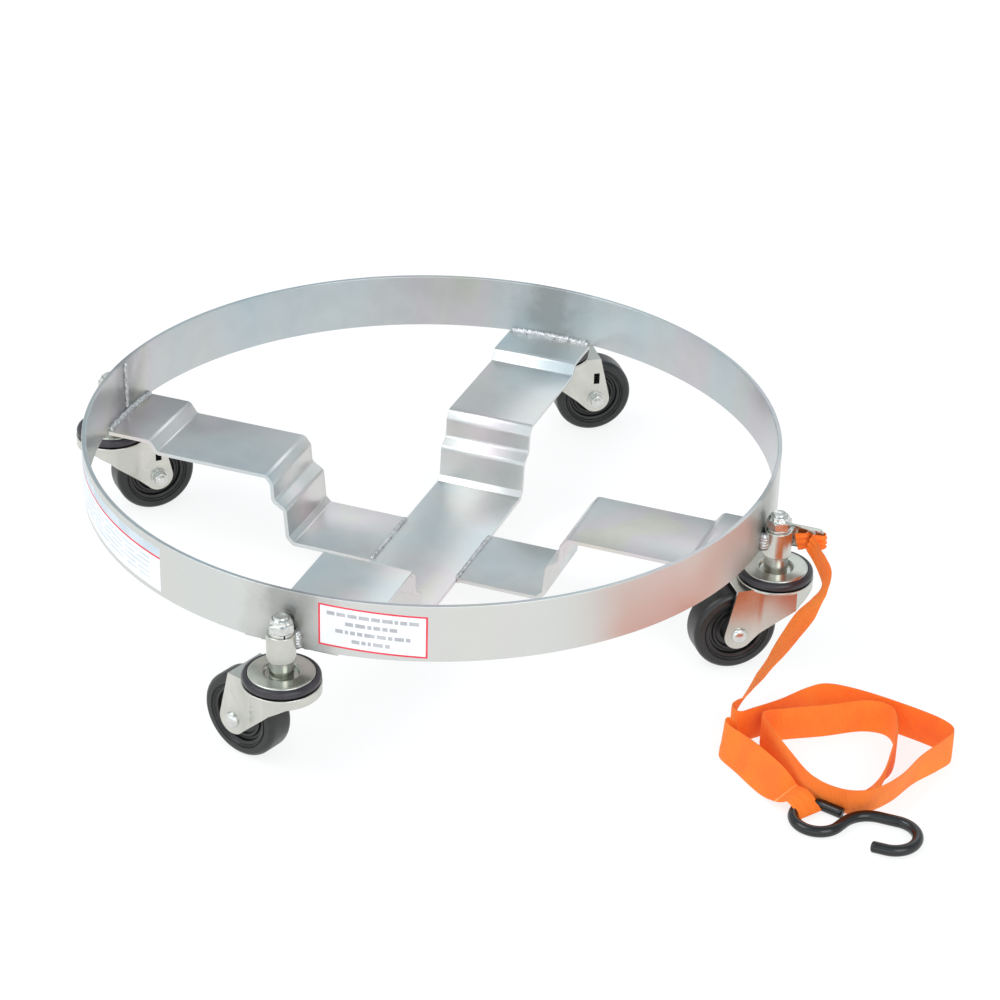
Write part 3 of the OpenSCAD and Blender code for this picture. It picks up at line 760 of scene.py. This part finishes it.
def fillet(a, b, c, r):
    """Points round the corner b, on a radius r that touches b to a and b to c."""
    u, v = (a - b).normalized(), (c - b).normalized()
    half = acos(max(-1, min(1, u.dot(v)))) / 2
    cut = r / tan(half)
    centre = b + (u + v).normalized() * r / sin(half)
    p, q = b + u * cut - centre, b + v * cut - centre
    return [
        centre + (p.lerp(q, i / BEND_STEPS)).normalized() * r for i in range(BEND_STEPS + 1)
    ]


def arm_outline(from_r):
    """Side outline of one stepped arm, from the ring inwards and back underneath."""
    end_r = sqrt(RING_R**2 - BAR_W**2 / 4) - RING_T
    face = [
        (end_r, 91), (318, 91), (309, 78.5), (175, 78.5), (167.5, 68.5), (166, 48.5),
        (152, 39.5), (149, 6), (143, 0), (0, 0),
    ]
    radii = [7, 3.5, 8, 8, 5.5, 7, 2, 2]
    path = [Vector(p) for p in face]
    top = [path[0]]
    for i in range(1, len(path) - 1):
        top += fillet(path[i - 1], path[i], path[i + 1], radii[i - 1])
    top.append(path[-1])
    under = []
    last = len(top) - 1
    for i, p in enumerate(top):
        into = (top[i] - top[i - 1]).normalized() if i else (top[1] - top[0]).normalized()
        out = (top[i + 1] - top[i]).normalized() if i < last else into
        mid = (into + out).normalized()
        under.append(p + Vector((mid.y, -mid.x)) * (-BAR_T / mid.dot(out)))
    cut = [Vector((max(p.x, from_r), p.y)) for p in top + under[::-1]]
    made = []
    for p in cut:
        if not made or (p - made[-1]).length > 1e-5:
            made.append(p)
    return made


def strip(outline, half_w, edge=0.7):
    """A bar of one side outline, extruded along Y, with its long edges rounded over."""
    count = len(outline)
    inward = []
    for i, p in enumerate(outline):
        a, b = outline[i - 1], outline[(i + 1) % count]
        t1, t2 = (p - a).normalized(), (b - p).normalized()
        n = Vector((t1.y, -t1.x)) + Vector((t2.y, -t2.x))
        inward.append(n.normalized() / max(0.5, n.length / 2))
    area = sum(a.cross(b) for a, b in zip(outline, outline[1:] + outline[:1]))
    sign = -1 if area > 0 else 1
    steps = (
        (-half_w, edge), (-half_w + edge * 0.3, edge * 0.3), (-half_w + edge, 0),
        (half_w - edge, 0), (half_w - edge * 0.3, edge * 0.3), (half_w, edge),
    )
    verts, faces = [], []
    for y, inset in steps:
        verts += [
            (p.x + n.x * inset * sign, y, p.y + n.y * inset * sign) for p, n in zip(outline, inward)
        ]
    for i in range(len(steps) - 1):
        faces += band(i, i + 1, count)
    half = count // 2
    for base in (0, (len(steps) - 1) * count):
        # the end faces as quads between the upper and under side
        faces += [
            (base + k, base + k + 1, base + count - 2 - k, base + count - 1 - k)
            for k in range(half - 1)
        ]
    return verts, faces


def make_ring():
    """The rolled band, with extra rows up its tall faces."""
    soft = box_section(RING_IN_R, RING_R, RING_Z, RING_TOP, 0.9)
    rows = []
    for i, p in enumerate(soft):
        rows.append(p)
        q = soft[(i + 1) % len(soft)]
        if (q - p).length > 20:
            rows += [p.lerp(q, k / 4) for k in (1, 2, 3)]
    on_frame("ring_band", lathe(rows, 360), "zinc_plate", "ring")


def make_cross():
    """The long bar as two whole arms, and the half bars butted to its sides."""
    whole = arm_outline(0)
    halves = [moved(strip(whole, BAR_W / 2), turned(a)) for a in (90, -90)]
    on_frame("cross_bar_steel", merged(halves), "zinc_bar", "cross_bar")
    short = strip(arm_outline(BAR_W / 2), BAR_W / 2)
    for name, a in (("left_arm", 180), ("right_arm", 0)):
        on_frame(name + "_steel", moved(short, turned(a)), "zinc_bar", name)


make_ring()
make_cross()


# ---- welds
def ring_arc(radius, z, middle, half_turn, steps=48):
    spots = [radians(middle + half_turn * (2 * k / steps - 1)) for k in range(steps + 1)]
    return [at_angle(radius, a, z) for a in spots]


def weld(name, parts, node):
    on_frame(name, merged(parts), "weld_bead", node, 80)


def make_welds():
    """Every bead: under and over the cross, arms to ring, the ring's seam, sleeves, and the tow tab."""
    half = BAR_W / 2
    lines = [
        [(side * half, -half + 2, z), (side * half, half - 2, z)]
        for side in (-1, 1)
        for z in (-BAR_T - 0.4, -0.3)
    ]
    beads = [bead(line, 2.5, k) for k, line in enumerate(lines)]
    weld("centre_weld_beads", beads, "centre_welds")

    reach = degrees(asin(half / RING_IN_R)) - 0.3
    arcs = [(a, ring_arc(RING_IN_R - 1.2, RING_Z + 1.0, a, reach)) for a in STEM_AT.values()]
    weld("arm_end_weld_beads", [bead(line, 4.0, 10 + a) for a, line in arcs], "arm_end_welds")

    seam = bead([(-RING_IN_R, 0, RING_Z + 6), (-RING_IN_R, 0, RING_TOP - 1.5)], 2.8, 21)
    weld("ring_seam_bead", [seam], "ring_seam_weld")

    beads = []
    for k, a in enumerate(STEM_AT.values()):
        turn = turned(a)
        for side in (-1, 1):
            foot = (STEM_R - 11.6, side * 11.6, RING_Z + 1.5)
            head = (STEM_R - 12.0, side * 11.0, SLEEVE_TOP - 2.5)
            beads.append(moved(bead([foot, head], 5.3, 31 + 2 * k + side), turn))
    weld("sleeve_weld_beads", beads, "sleeve_welds")

    tab = bead([(STEM_R + 9.6, 13.2, 90.0), (STEM_R + 9.4, 13.4, 112.5)], 3.4, 55)
    weld("tow_tab_bead", [tab], "tow_tab_weld")


# ---- casters
STEM_AT = {"front": -90.0, "left": 180.0, "back": 90.0, "right": 0.0}
TRAIL_TO = {"front": 163.0, "left": 46.5, "back": 35.0, "right": 218.0}
STEM_BORE = 8.2
THREAD_R = 7.9
AXLE_R = 4.75
HUB_HALF = 19.5
BUSH_R = 6.5
WHEEL_R = 46.0
WASHER_TOP = SLEEVE_TOP + 2.7
NUT_H = 9.5
NUT_TOP_H = 4.6
STEM_TOP = WASHER_TOP + NUT_H + NUT_TOP_H + 2.3
DISH_FLOOR = 64.8
DISH_RIM = 69.8


def at_stems(part):
    """A stem's part in all four places, in one."""
    return merged(
        [
            moved(part, turned(a) @ Matrix.Translation((STEM_R, 0, 0)))
            for a in STEM_AT.values()
        ]
    )


def at_caster(name):
    a = radians(STEM_AT[name])
    spot = Vector((cos(a), sin(a), 0)) * STEM_R * MM
    return Matrix.Translation(spot) @ turned(TRAIL_TO[name])


def at_axle(name):
    spot = Matrix.Translation(Vector((TRAIL, 0, AXLE_Z)) * MM)
    return at_caster(name) @ spot @ turned(-90, "X")


def hex_radius(angle, across):
    """Radius of a hexagon of that size across its flats, at an angle."""
    return across / 2 / cos((angle + pi / 6) % (pi / 3) - pi / 6)


def hex_rows(across, low, high, chamfer=0.62):
    """Outer rows of a hexagon nut from low to high, with its corners turned down."""
    height = across * 0.075
    steps = 6
    heights = [low + height * k / steps for k in range(steps + 1)]
    heights += [high - height * k / steps for k in range(steps, -1, -1)]

    def row(z):
        end = min(high - z, z - low)
        return lambda a: (min(hex_radius(a, across), across / 2 - 0.15 + end / chamfer), z)

    return [row(z) for z in heights]


def level(radius, z):
    return lambda a: (radius, z)


def ribbed(low_r, high_r, low, high):
    """Rows of the nut's upper collar, with pressed ribs all round."""
    made = []
    for k in range(9):
        t = k / 8
        depth = 1.0 * sin(pi * min(1.0, t * 1.15)) ** 0.5 if t < 0.87 else 0.2
        r = low_r + (high_r - low_r) * t - 0.9 * max(0.0, t - 0.75) * 4

        def row(a, r=r, z=low + (high - low) * t, depth=depth):
            return r - depth * (0.5 + 0.5 * cos(12 * a)) ** 0.7, z

        made.append(row)
    return made


def threaded(radius, low, high, pitch=1.0, depth=0.55):
    """Open outline of a thread from low to high."""
    made, z = [], low
    while z + pitch <= high:
        made += [(radius - depth, z), (radius, z + pitch * 0.4), (radius, z + pitch * 0.6)]
        z += pitch
    return made + [(radius - depth, z)]


def make_stems():
    """What stands above each caster: sleeve, collar, dish, spring washer, nut and stem."""
    sleeve = lathe(box_section(STEM_BORE, SLEEVE_R, SLEEVE_Z, SLEEVE_TOP, 1.1))
    collar = lathe(box_section(STEM_BORE, 12.5, DISH_FLOOR, SLEEVE_Z, 0.9))
    split = lathe(box_section(STEM_BORE, 13, SLEEVE_TOP, WASHER_TOP, 0.6), 96, 352.0, 44.0)
    plate, drop, rim, edge = 2, 5.5, 32.5, 34.5
    dish = lathe(
        softened(
            [
                (STEM_BORE, DISH_FLOOR - plate), (17, DISH_FLOOR - plate),
                (19.5, DISH_RIM - plate), (rim, DISH_RIM - plate), (rim, DISH_RIM - drop),
                (edge, DISH_RIM - drop), (edge, DISH_RIM), (18.7, DISH_RIM),
                (16.6, DISH_FLOOR), (STEM_BORE, DISH_FLOOR),
            ],
            1.9,
        )
    )
    on_frame("caster_sleeve_tubes", at_stems(sleeve), "zinc_hardware", "caster_sleeves")
    on_frame("stem_collar_tubes", at_stems(collar), "zinc_hardware", "stem_collars")
    on_frame("bearing_dishes", at_stems(dish), "zinc_hardware", "top_dishes")
    on_frame("spring_washers", at_stems(split), "fastener_zinc", "lock_washers")

    top = WASHER_TOP + NUT_H
    rows = hex_rows(24, WASHER_TOP, top)
    rows += ribbed(11.6, 10.2, top + 0.1, top + NUT_TOP_H)
    rows += [level(THREAD_R + 0.7, top + NUT_TOP_H), level(THREAD_R, top + NUT_TOP_H - 0.7)]
    rows += [level(THREAD_R, WASHER_TOP + 0.5), level(THREAD_R + 0.5, WASHER_TOP)]
    nut = at_stems(polar(rows, 180))
    on_frame("stem_lock_nuts", nut, "fastener_zinc", "stem_nuts", 28)

    head = 45.2
    outline = [(0, head), (9.6, head), (11.4, head + 0.6), (12, head + 2), (12, head + 5)]
    outline += [(THREAD_R, head + 5), (THREAD_R, top + 2)]
    outline += threaded(THREAD_R, top + 2.5, STEM_TOP - 1.0)
    outline += [(6.6, STEM_TOP), (6.2, STEM_TOP), (5.2, STEM_TOP - 0.5), (0, STEM_TOP - 0.7)]
    stem = at_stems(solid_lathe(outline))
    on_frame("stem_bolt_turned", stem, "fastener_zinc", "stem_bolts")


def fork_outline(inset, reach):
    """The fork from above: round at the back, then drawn in to two straight legs."""
    r, leg = CROWN_R - inset, LEG_OUT - inset
    start = radians(104)
    touch = Vector((r * cos(start), r * sin(start)))
    side = [Vector((reach, leg))] + fillet(Vector((reach, leg)), Vector((23, leg)), touch, 16)
    turn = 2 * pi - 2 * start
    turns = [start + turn * k / 48 for k in range(49)]
    back = [Vector((r * cos(a), r * sin(a))) for a in turns]
    return side + back + [Vector((p.x, -p.y)) for p in reversed(side)]


def fork_side():
    """The fork's side: skirt at the back, sloping edges, and a round boss at the axle."""
    skirt = CROWN_Z - 13.6
    boss = 16.5
    made = [(FORK_BACK, skirt + 3), (-30, skirt + 3), (-16, skirt - 5)]
    made += arc(TRAIL, AXLE_Z, boss, boss, [-140 + 152 * k / 32 for k in range(33)])
    return made + [(TRAIL + 4, CROWN_Z + 1), (FORK_BACK, CROWN_Z + 1)]


def make_fork():
    """The pressed fork: outline cut to its side view, hollowed, crowned, bored and slotted."""
    reach, low = TRAIL + 17.5, -16.0
    outer = prism(fork_outline(0, reach), low, CROWN_Z - 1.0)
    side = moved(prism(fork_side(), -44, 44), turned(90, "X"))
    hollow = prism(fork_outline(FORK_T, reach + 2), low - 2, CROWN_Z - FORK_T)
    rim = box_section(-1, CROWN_R + 0.05, CROWN_Z - FORK_T, CROWN_Z, 1.4)
    rim = [(0, rim[0][1])] + [(p.x, p.y) for p in rim if p.x > 1] + [(0, CROWN_Z)]
    bore, corners = 10.5, 64
    turns = [tau * k / corners for k in range(corners)]
    hole = [(bore * cos(a), bore * sin(a)) for a in turns]
    slot = [(TRAIL - 3.5, -28), (TRAIL + 3.5, -28), (TRAIL + 3.5, -20), (TRAIL - 3.5, -20)]
    steps = [
        ("INTERSECT", side),
        ("DIFFERENCE", hollow),
        ("UNION", solid_lathe(rim, 120)),
        ("DIFFERENCE", prism(hole, CROWN_Z - 8, CROWN_Z + 4)),
        ("DIFFERENCE", prism(slot, AXLE_Z + 21, AXLE_Z + 35)),
    ]
    return carved(outer, steps, 0.4)


def wheel_section():
    """Half of the wheel's section: hub, web, two ridges with a groove between, and a round tread."""
    side, corner = 15.9, 6.4
    half = [
        (BUSH_R, HUB_HALF), (10.7, HUB_HALF), (12.5, 15.5), (16.6, 8.4), (21.2, 8.4), (22.1, 11.2),
        (24.8, 11.6), (25.8, 9.0), (28.5, 9.0), (29.4, 12.9), (32.2, 13.7), (33.1, 15.2),
        (34.0, 15.6), (34.7, 14.2), (36.0, 14.2), (36.9, side),
    ]
    tread = arc(WHEEL_R - corner, side - corner, corner, corner, range(90, -1, -9))
    # the tread's shoulder stands a little proud of the side
    tread = [(r, w + 0.25 * (WHEEL_R - r) / corner if w < 15.8 else w) for r, w in tread]
    return softened(half, 0.9, 3)[1:-1] + [Vector(p) for p in tread[1:]]


def make_wheel():
    half = wheel_section()
    crowned = [Vector((WHEEL_R, z)) for z in (5.0, 0.0, -5.0)]
    section = [Vector((BUSH_R, 0)), Vector((BUSH_R, HUB_HALF - 1))] + half + crowned
    section += [Vector((p.x, -p.y)) for p in reversed(half)] + [Vector((BUSH_R, 1 - HUB_HALF))]
    return lathe(section, 128)


def make_casters():
    """Everything that swivels or spins, made once and placed at all four stems."""
    oval = arc(36.4, 64.3, 3.7, 4.6, range(-80, 91, 10))
    seal = lathe([(35, CROWN_Z + 0.1), (36.6, CROWN_Z + 0.1)] + oval + [(35, 68.9)], 120)
    bush = lathe(box_section(AXLE_R + 0.05, BUSH_R, -HUB_HALF, HUB_HALF, 0.4), 64)
    out, head_r, rim = LEG_OUT, 8.6, 0.7
    head = [(head_r, out), (head_r, out + rim)] + arc(0, out + rim, head_r, 4.3, range(9, 82, 9))
    bolt = [(0, -34.2), (3.6, -34.2)] + threaded(AXLE_R, -33.4, -24.2)
    bolt = solid_lathe(bolt + [(AXLE_R, -23.4), (AXLE_R, out)] + head + [(0, out + 5.0)])
    washer = lathe(box_section(AXLE_R, 10, -1.6 - out, -out, 0.4), 64)
    low = -out - 8.6
    high = low + 7
    nut = polar(hex_rows(14.3, low, high) + [level(AXLE_R, high), level(AXLE_R, low)])
    thrust = [lathe(box_section(AXLE_R + 0.1, 9.5, z, z + 1, 0.3), 64) for z in (-21, 20)]
    fork, wheel = make_fork(), make_wheel()
    for name in CASTERS:
        turn, spin = name + "_swivel", name + "_wheel"
        stem, axle = at_caster(name), at_axle(name)
        for node, how, part, slot, body, place, smooth in (
            ("fork", "pressed", fork, "zinc_hardware", turn, stem, 32),
            ("dust_seal", "ring", seal, "seal_rubber", turn, stem, 35.0),
            ("axle_bolt", "turned", bolt, "fastener_zinc", turn, axle, 35.0),
            ("axle_nut", "turned", merged([nut, washer]), "fastener_zinc", turn, axle, 35.0),
            ("axle_washers", "turned", merged(thrust), "fastener_zinc", turn, axle, 35.0),
            ("wheel", "moulded", wheel, "wheel_rubber", spin, axle, 35.0),
            ("hub_bush", "turned", bush, "bearing_steel", spin, axle, 35.0),
        ):
            made = f"{node}_{name}_{how}"
            piece(made, *part, slot, body, [f"{node}_{name}"], place, smooth)


make_welds()
make_stems()
make_casters()


# ---- tow tab and its loop
def make_tab():
    """The upright plate beside the right sleeve, with its slot for the webbing."""
    corner, high, low, start, end = 6.0, 113.8, 88.4, STEM_R - 8, STEM_R + 44.6
    outline = [(start, low), (end - corner, low)]
    for middle, first in ((low + corner, -90), (high - corner, 0)):
        turns = [first + 10 * k for k in range(10)]
        outline += arc(end - corner, middle, corner, corner, turns)
    outline.append((start, high))
    slot = []
    for up, first in ((4.5, 0), (-4.5, 180)):
        slot += arc(422.5, 101.1 + up, 4, 4, [first + 15 * k for k in range(13)])
    upright = turned(90, "X")
    plate = moved(prism(outline, -19, -15), upright)
    part = carved(plate, [("DIFFERENCE", moved(prism(slot, -22, -12), upright))], 0.5)
    on_frame("tow_tab_plate", part, "zinc_hardware", "tow_tab")


# as the strap's route: x, y, z, tilt, share of the full width
LOOP_ROUTE = [
    (427, 8.8, 101, 88, 0.50), (433, 11.0, 101, 90, 0.48), (438.2, 13.6, 101, 90, 0.44),
    (439.6, 17.2, 101, 90, 0.43), (436.8, 20.8, 101, 90, 0.43), (429.5, 21.4, 101, 90, 0.43),
    (423.4, 20.2, 101, 90, 0.42), (421.6, 16.8, 101, 90, 0.42), (420.0, 13.0, 100.5, 90, 0.46),
    (416.5, 10.8, 99.5, 86, 0.54), (410.5, 9.4, 98.2, 80, 0.58),
]

make_tab()
make_ribbon("tow_strap_loop", LOOP_ROUTE, ["strap_loop"])


# ---- labels
def make_label(name, node, span, low, high, columns, boxes):
    """Printed film on the ring. low and high are its (start, end) heights.

    Each box is (u0, u1, v0, v1, mark), in shares of the film's length and height.
    """
    across = sorted({k / columns for k in range(columns + 1)} | {u for b in boxes for u in b[:2]})
    up = sorted({0.0, 1.0} | {v for b in boxes for v in b[2:4]})
    outer, verts, faces, marks = RING_R + 0.25, [], [], []
    for u in across:
        a = radians(span[0] + (span[1] - span[0]) * u)
        z0, z1 = low[0] + (low[1] - low[0]) * u, high[0] + (high[1] - high[0]) * u
        verts += [at_angle(outer, a, z0 + (z1 - z0) * v) for v in up]
    n = len(up)
    for i in range(len(across) - 1):
        for k in range(n - 1):
            u, v = (across[i] + across[i + 1]) / 2, (up[k] + up[k + 1]) / 2
            faces.append((i * n + k, (i + 1) * n + k, (i + 1) * n + k + 1, i * n + k + 1))
            inside = [b[4] for b in reversed(boxes) if b[0] < u < b[1] and b[2] < v < b[3]]
            marks.append(inside[0] if inside else 0)
    count, inner = len(verts), RING_R - 0.2
    verts += [(inner * x / outer, inner * y / outer, z) for x, y, z in verts]
    faces += [tuple(count + k for k in reversed(face)) for face in faces]
    marks += marks
    edge = [i * n for i in range(len(across))]
    edge += range((len(across) - 1) * n + 1, len(across) * n)
    edge += [i * n + n - 1 for i in range(len(across) - 2, -1, -1)] + list(range(n - 2, 0, -1))
    for a, b in zip(edge, edge[1:] + edge[:1]):
        faces.append((b, a, count + a, count + b))
        marks.append(0)
    inks = ("red_print", "grey_print", "blue_print")
    piece(name, verts, faces, "label_film", "frame", [node], smooth=30, also=inks, marks=marks)


def front_boxes():
    """A red border, and rows of grey bars in place of print."""
    edge_u, edge_v = 0.018, 0.042
    red = [
        (0.0, 1.0, 0.0, edge_v, 1), (0.0, 1.0, 1 - edge_v, 1.0, 1),
        (0.0, edge_u, 0.0, 1.0, 1), (1 - edge_u, 1.0, 0.0, 1.0, 1),
    ]
    draw = random.Random(5)
    rows = [
        (0.76, 0.85, 0.08, 0.92), (0.56, 0.65, 0.25, 0.76),
        (0.36, 0.45, 0.16, 0.86), (0.16, 0.25, 0.31, 0.70),
    ]
    bars = []
    for v0, v1, start, end in rows:
        u = start
        while u < end - 0.03:
            wide = min(draw.uniform(0.03, 0.10), end - u)
            bars.append((u, u + wide, v0, v1, 2))
            u += wide + 0.018
    return red + bars


def side_boxes():
    """A blue-grey band along the top, a red line under it, and faint streaks below."""
    made = [(0.0, 1.0, 0.80, 1.0, 3), (0.0, 1.0, 0.755, 0.80, 1)]
    draw = random.Random(8)
    for k in range(5):
        v, u = 0.62 - 0.115 * k, 0.06
        while u < 0.90:
            wide = min(draw.uniform(0.05, 0.15), 0.94 - u)
            made.append((u, u + wide, v, v + 0.035, 3))
            u += wide + 0.02
    return made


make_label(
    "front_label_print", "front_label", (-85.0, -68.4), (RING_TOP - 53.8, RING_TOP - 59.6),
    (RING_TOP - 6.1, RING_TOP - 11.7), 24, front_boxes(),
)
make_label(
    "side_label_print", "side_label", (-160.0, -114.5), (RING_TOP - 58, RING_TOP - 58),
    (RING_TOP - 8, RING_TOP - 8), 60, side_boxes(),
)


# ---- lights
def make_world():
    """A white room, greyer above, and brighter on the near side, which the cross's risers mirror."""
    world = bpy.data.worlds.new("studio")
    SCENE.world = world
    world.use_nodes = True
    tree = world.node_tree
    tree.nodes.clear()
    kinds = ("OutputWorld", "Background", "TexCoord", "SeparateXYZ", "ValToRGB", "MapRange")
    out, back, coords, parts, ramp, near = (tree.nodes.new("ShaderNode" + k) for k in kinds)
    tree.links.new(coords.outputs["Generated"], parts.inputs[0])
    tree.links.new(parts.outputs["Z"], ramp.inputs["Fac"])
    stops = [
        (0.0, (1.0, 1.0, 1.0)), (0.2, (0.86, 0.92, 0.95)),
        (0.47, (0.53, 0.60, 0.63)), (1.0, (0.55, 0.60, 0.64)),
    ]
    fill_ramp(ramp, stops)
    tree.links.new(ramp.outputs["Color"], back.inputs["Color"])
    tree.links.new(back.outputs["Background"], out.inputs["Surface"])
    for socket, value in (("From Min", -1.0), ("From Max", 0.1), ("To Min", 1.9), ("To Max", 1.0)):
        near.inputs[socket].default_value = value
    tree.links.new(parts.outputs["Y"], near.inputs["Value"])
    tree.links.new(near.outputs["Result"], back.inputs["Strength"])


def area_light(name, spot, target, size, power):
    data = bpy.data.lights.new(name, "AREA")
    data.shape, data.size, data.size_y = "RECTANGLE", size[0], size[1]
    data.energy = power
    light = bpy.data.objects.new(name, data)
    light.location = spot
    aim = Vector(target) - Vector(spot)
    light.rotation_mode = "QUATERNION"
    light.rotation_quaternion = aim.to_track_quat("-Z", "Y")
    SCENE.collection.objects.link(light)


def make_floor():
    """A white sheet under the wheels, which gives off a little light of its own."""
    size, z = 14.0, FLOOR_Z * MM
    verts = [(-size, -size, z), (size, -size, z), (size, size, z), (-size, size, z)]
    mesh = bpy.data.meshes.new("studio_floor")
    mesh.from_pydata(verts, [], [(0, 1, 2, 3)])
    floor = bpy.data.objects.new("studio_floor", mesh)
    SCENE.collection.objects.link(floor)
    s = Shader("studio_floor", Roughness=0.9, Specular_IOR_Level=0.0, Emission_Strength=0.80)
    s.bsdf.inputs["Base Color"].default_value = (0.24, 0.24, 0.24, 1)
    s.bsdf.inputs["Emission Color"].default_value = (1, 1, 1, 1)
    mesh.materials.append(s.material)


make_world()
make_floor()
area_light("key", (-1.6, -1.2, 3.0), (0, 0, 0), (2.0, 2.0), 34)
area_light("fill", (2.4, -1.8, 1.8), (0, 0, 0), (1.8, 1.8), 24)
area_light("rear", (0.4, 3.4, 3.2), (0, 0, 0.05), (3.0, 1.6), 16)
SCENE.view_settings.view_transform = "Standard"

# the CAD pieces that are still shown: balls and lower races
for node in NODES.values():
    if not node.hide_render:
        names = [x.name if x else "" for x in node.data.materials]
        slot = next((m for m in MATERIALS if any(m in name for name in names)), "zinc_hardware")
        node.data.materials.clear()
        node.data.materials.append(MATERIALS[slot])
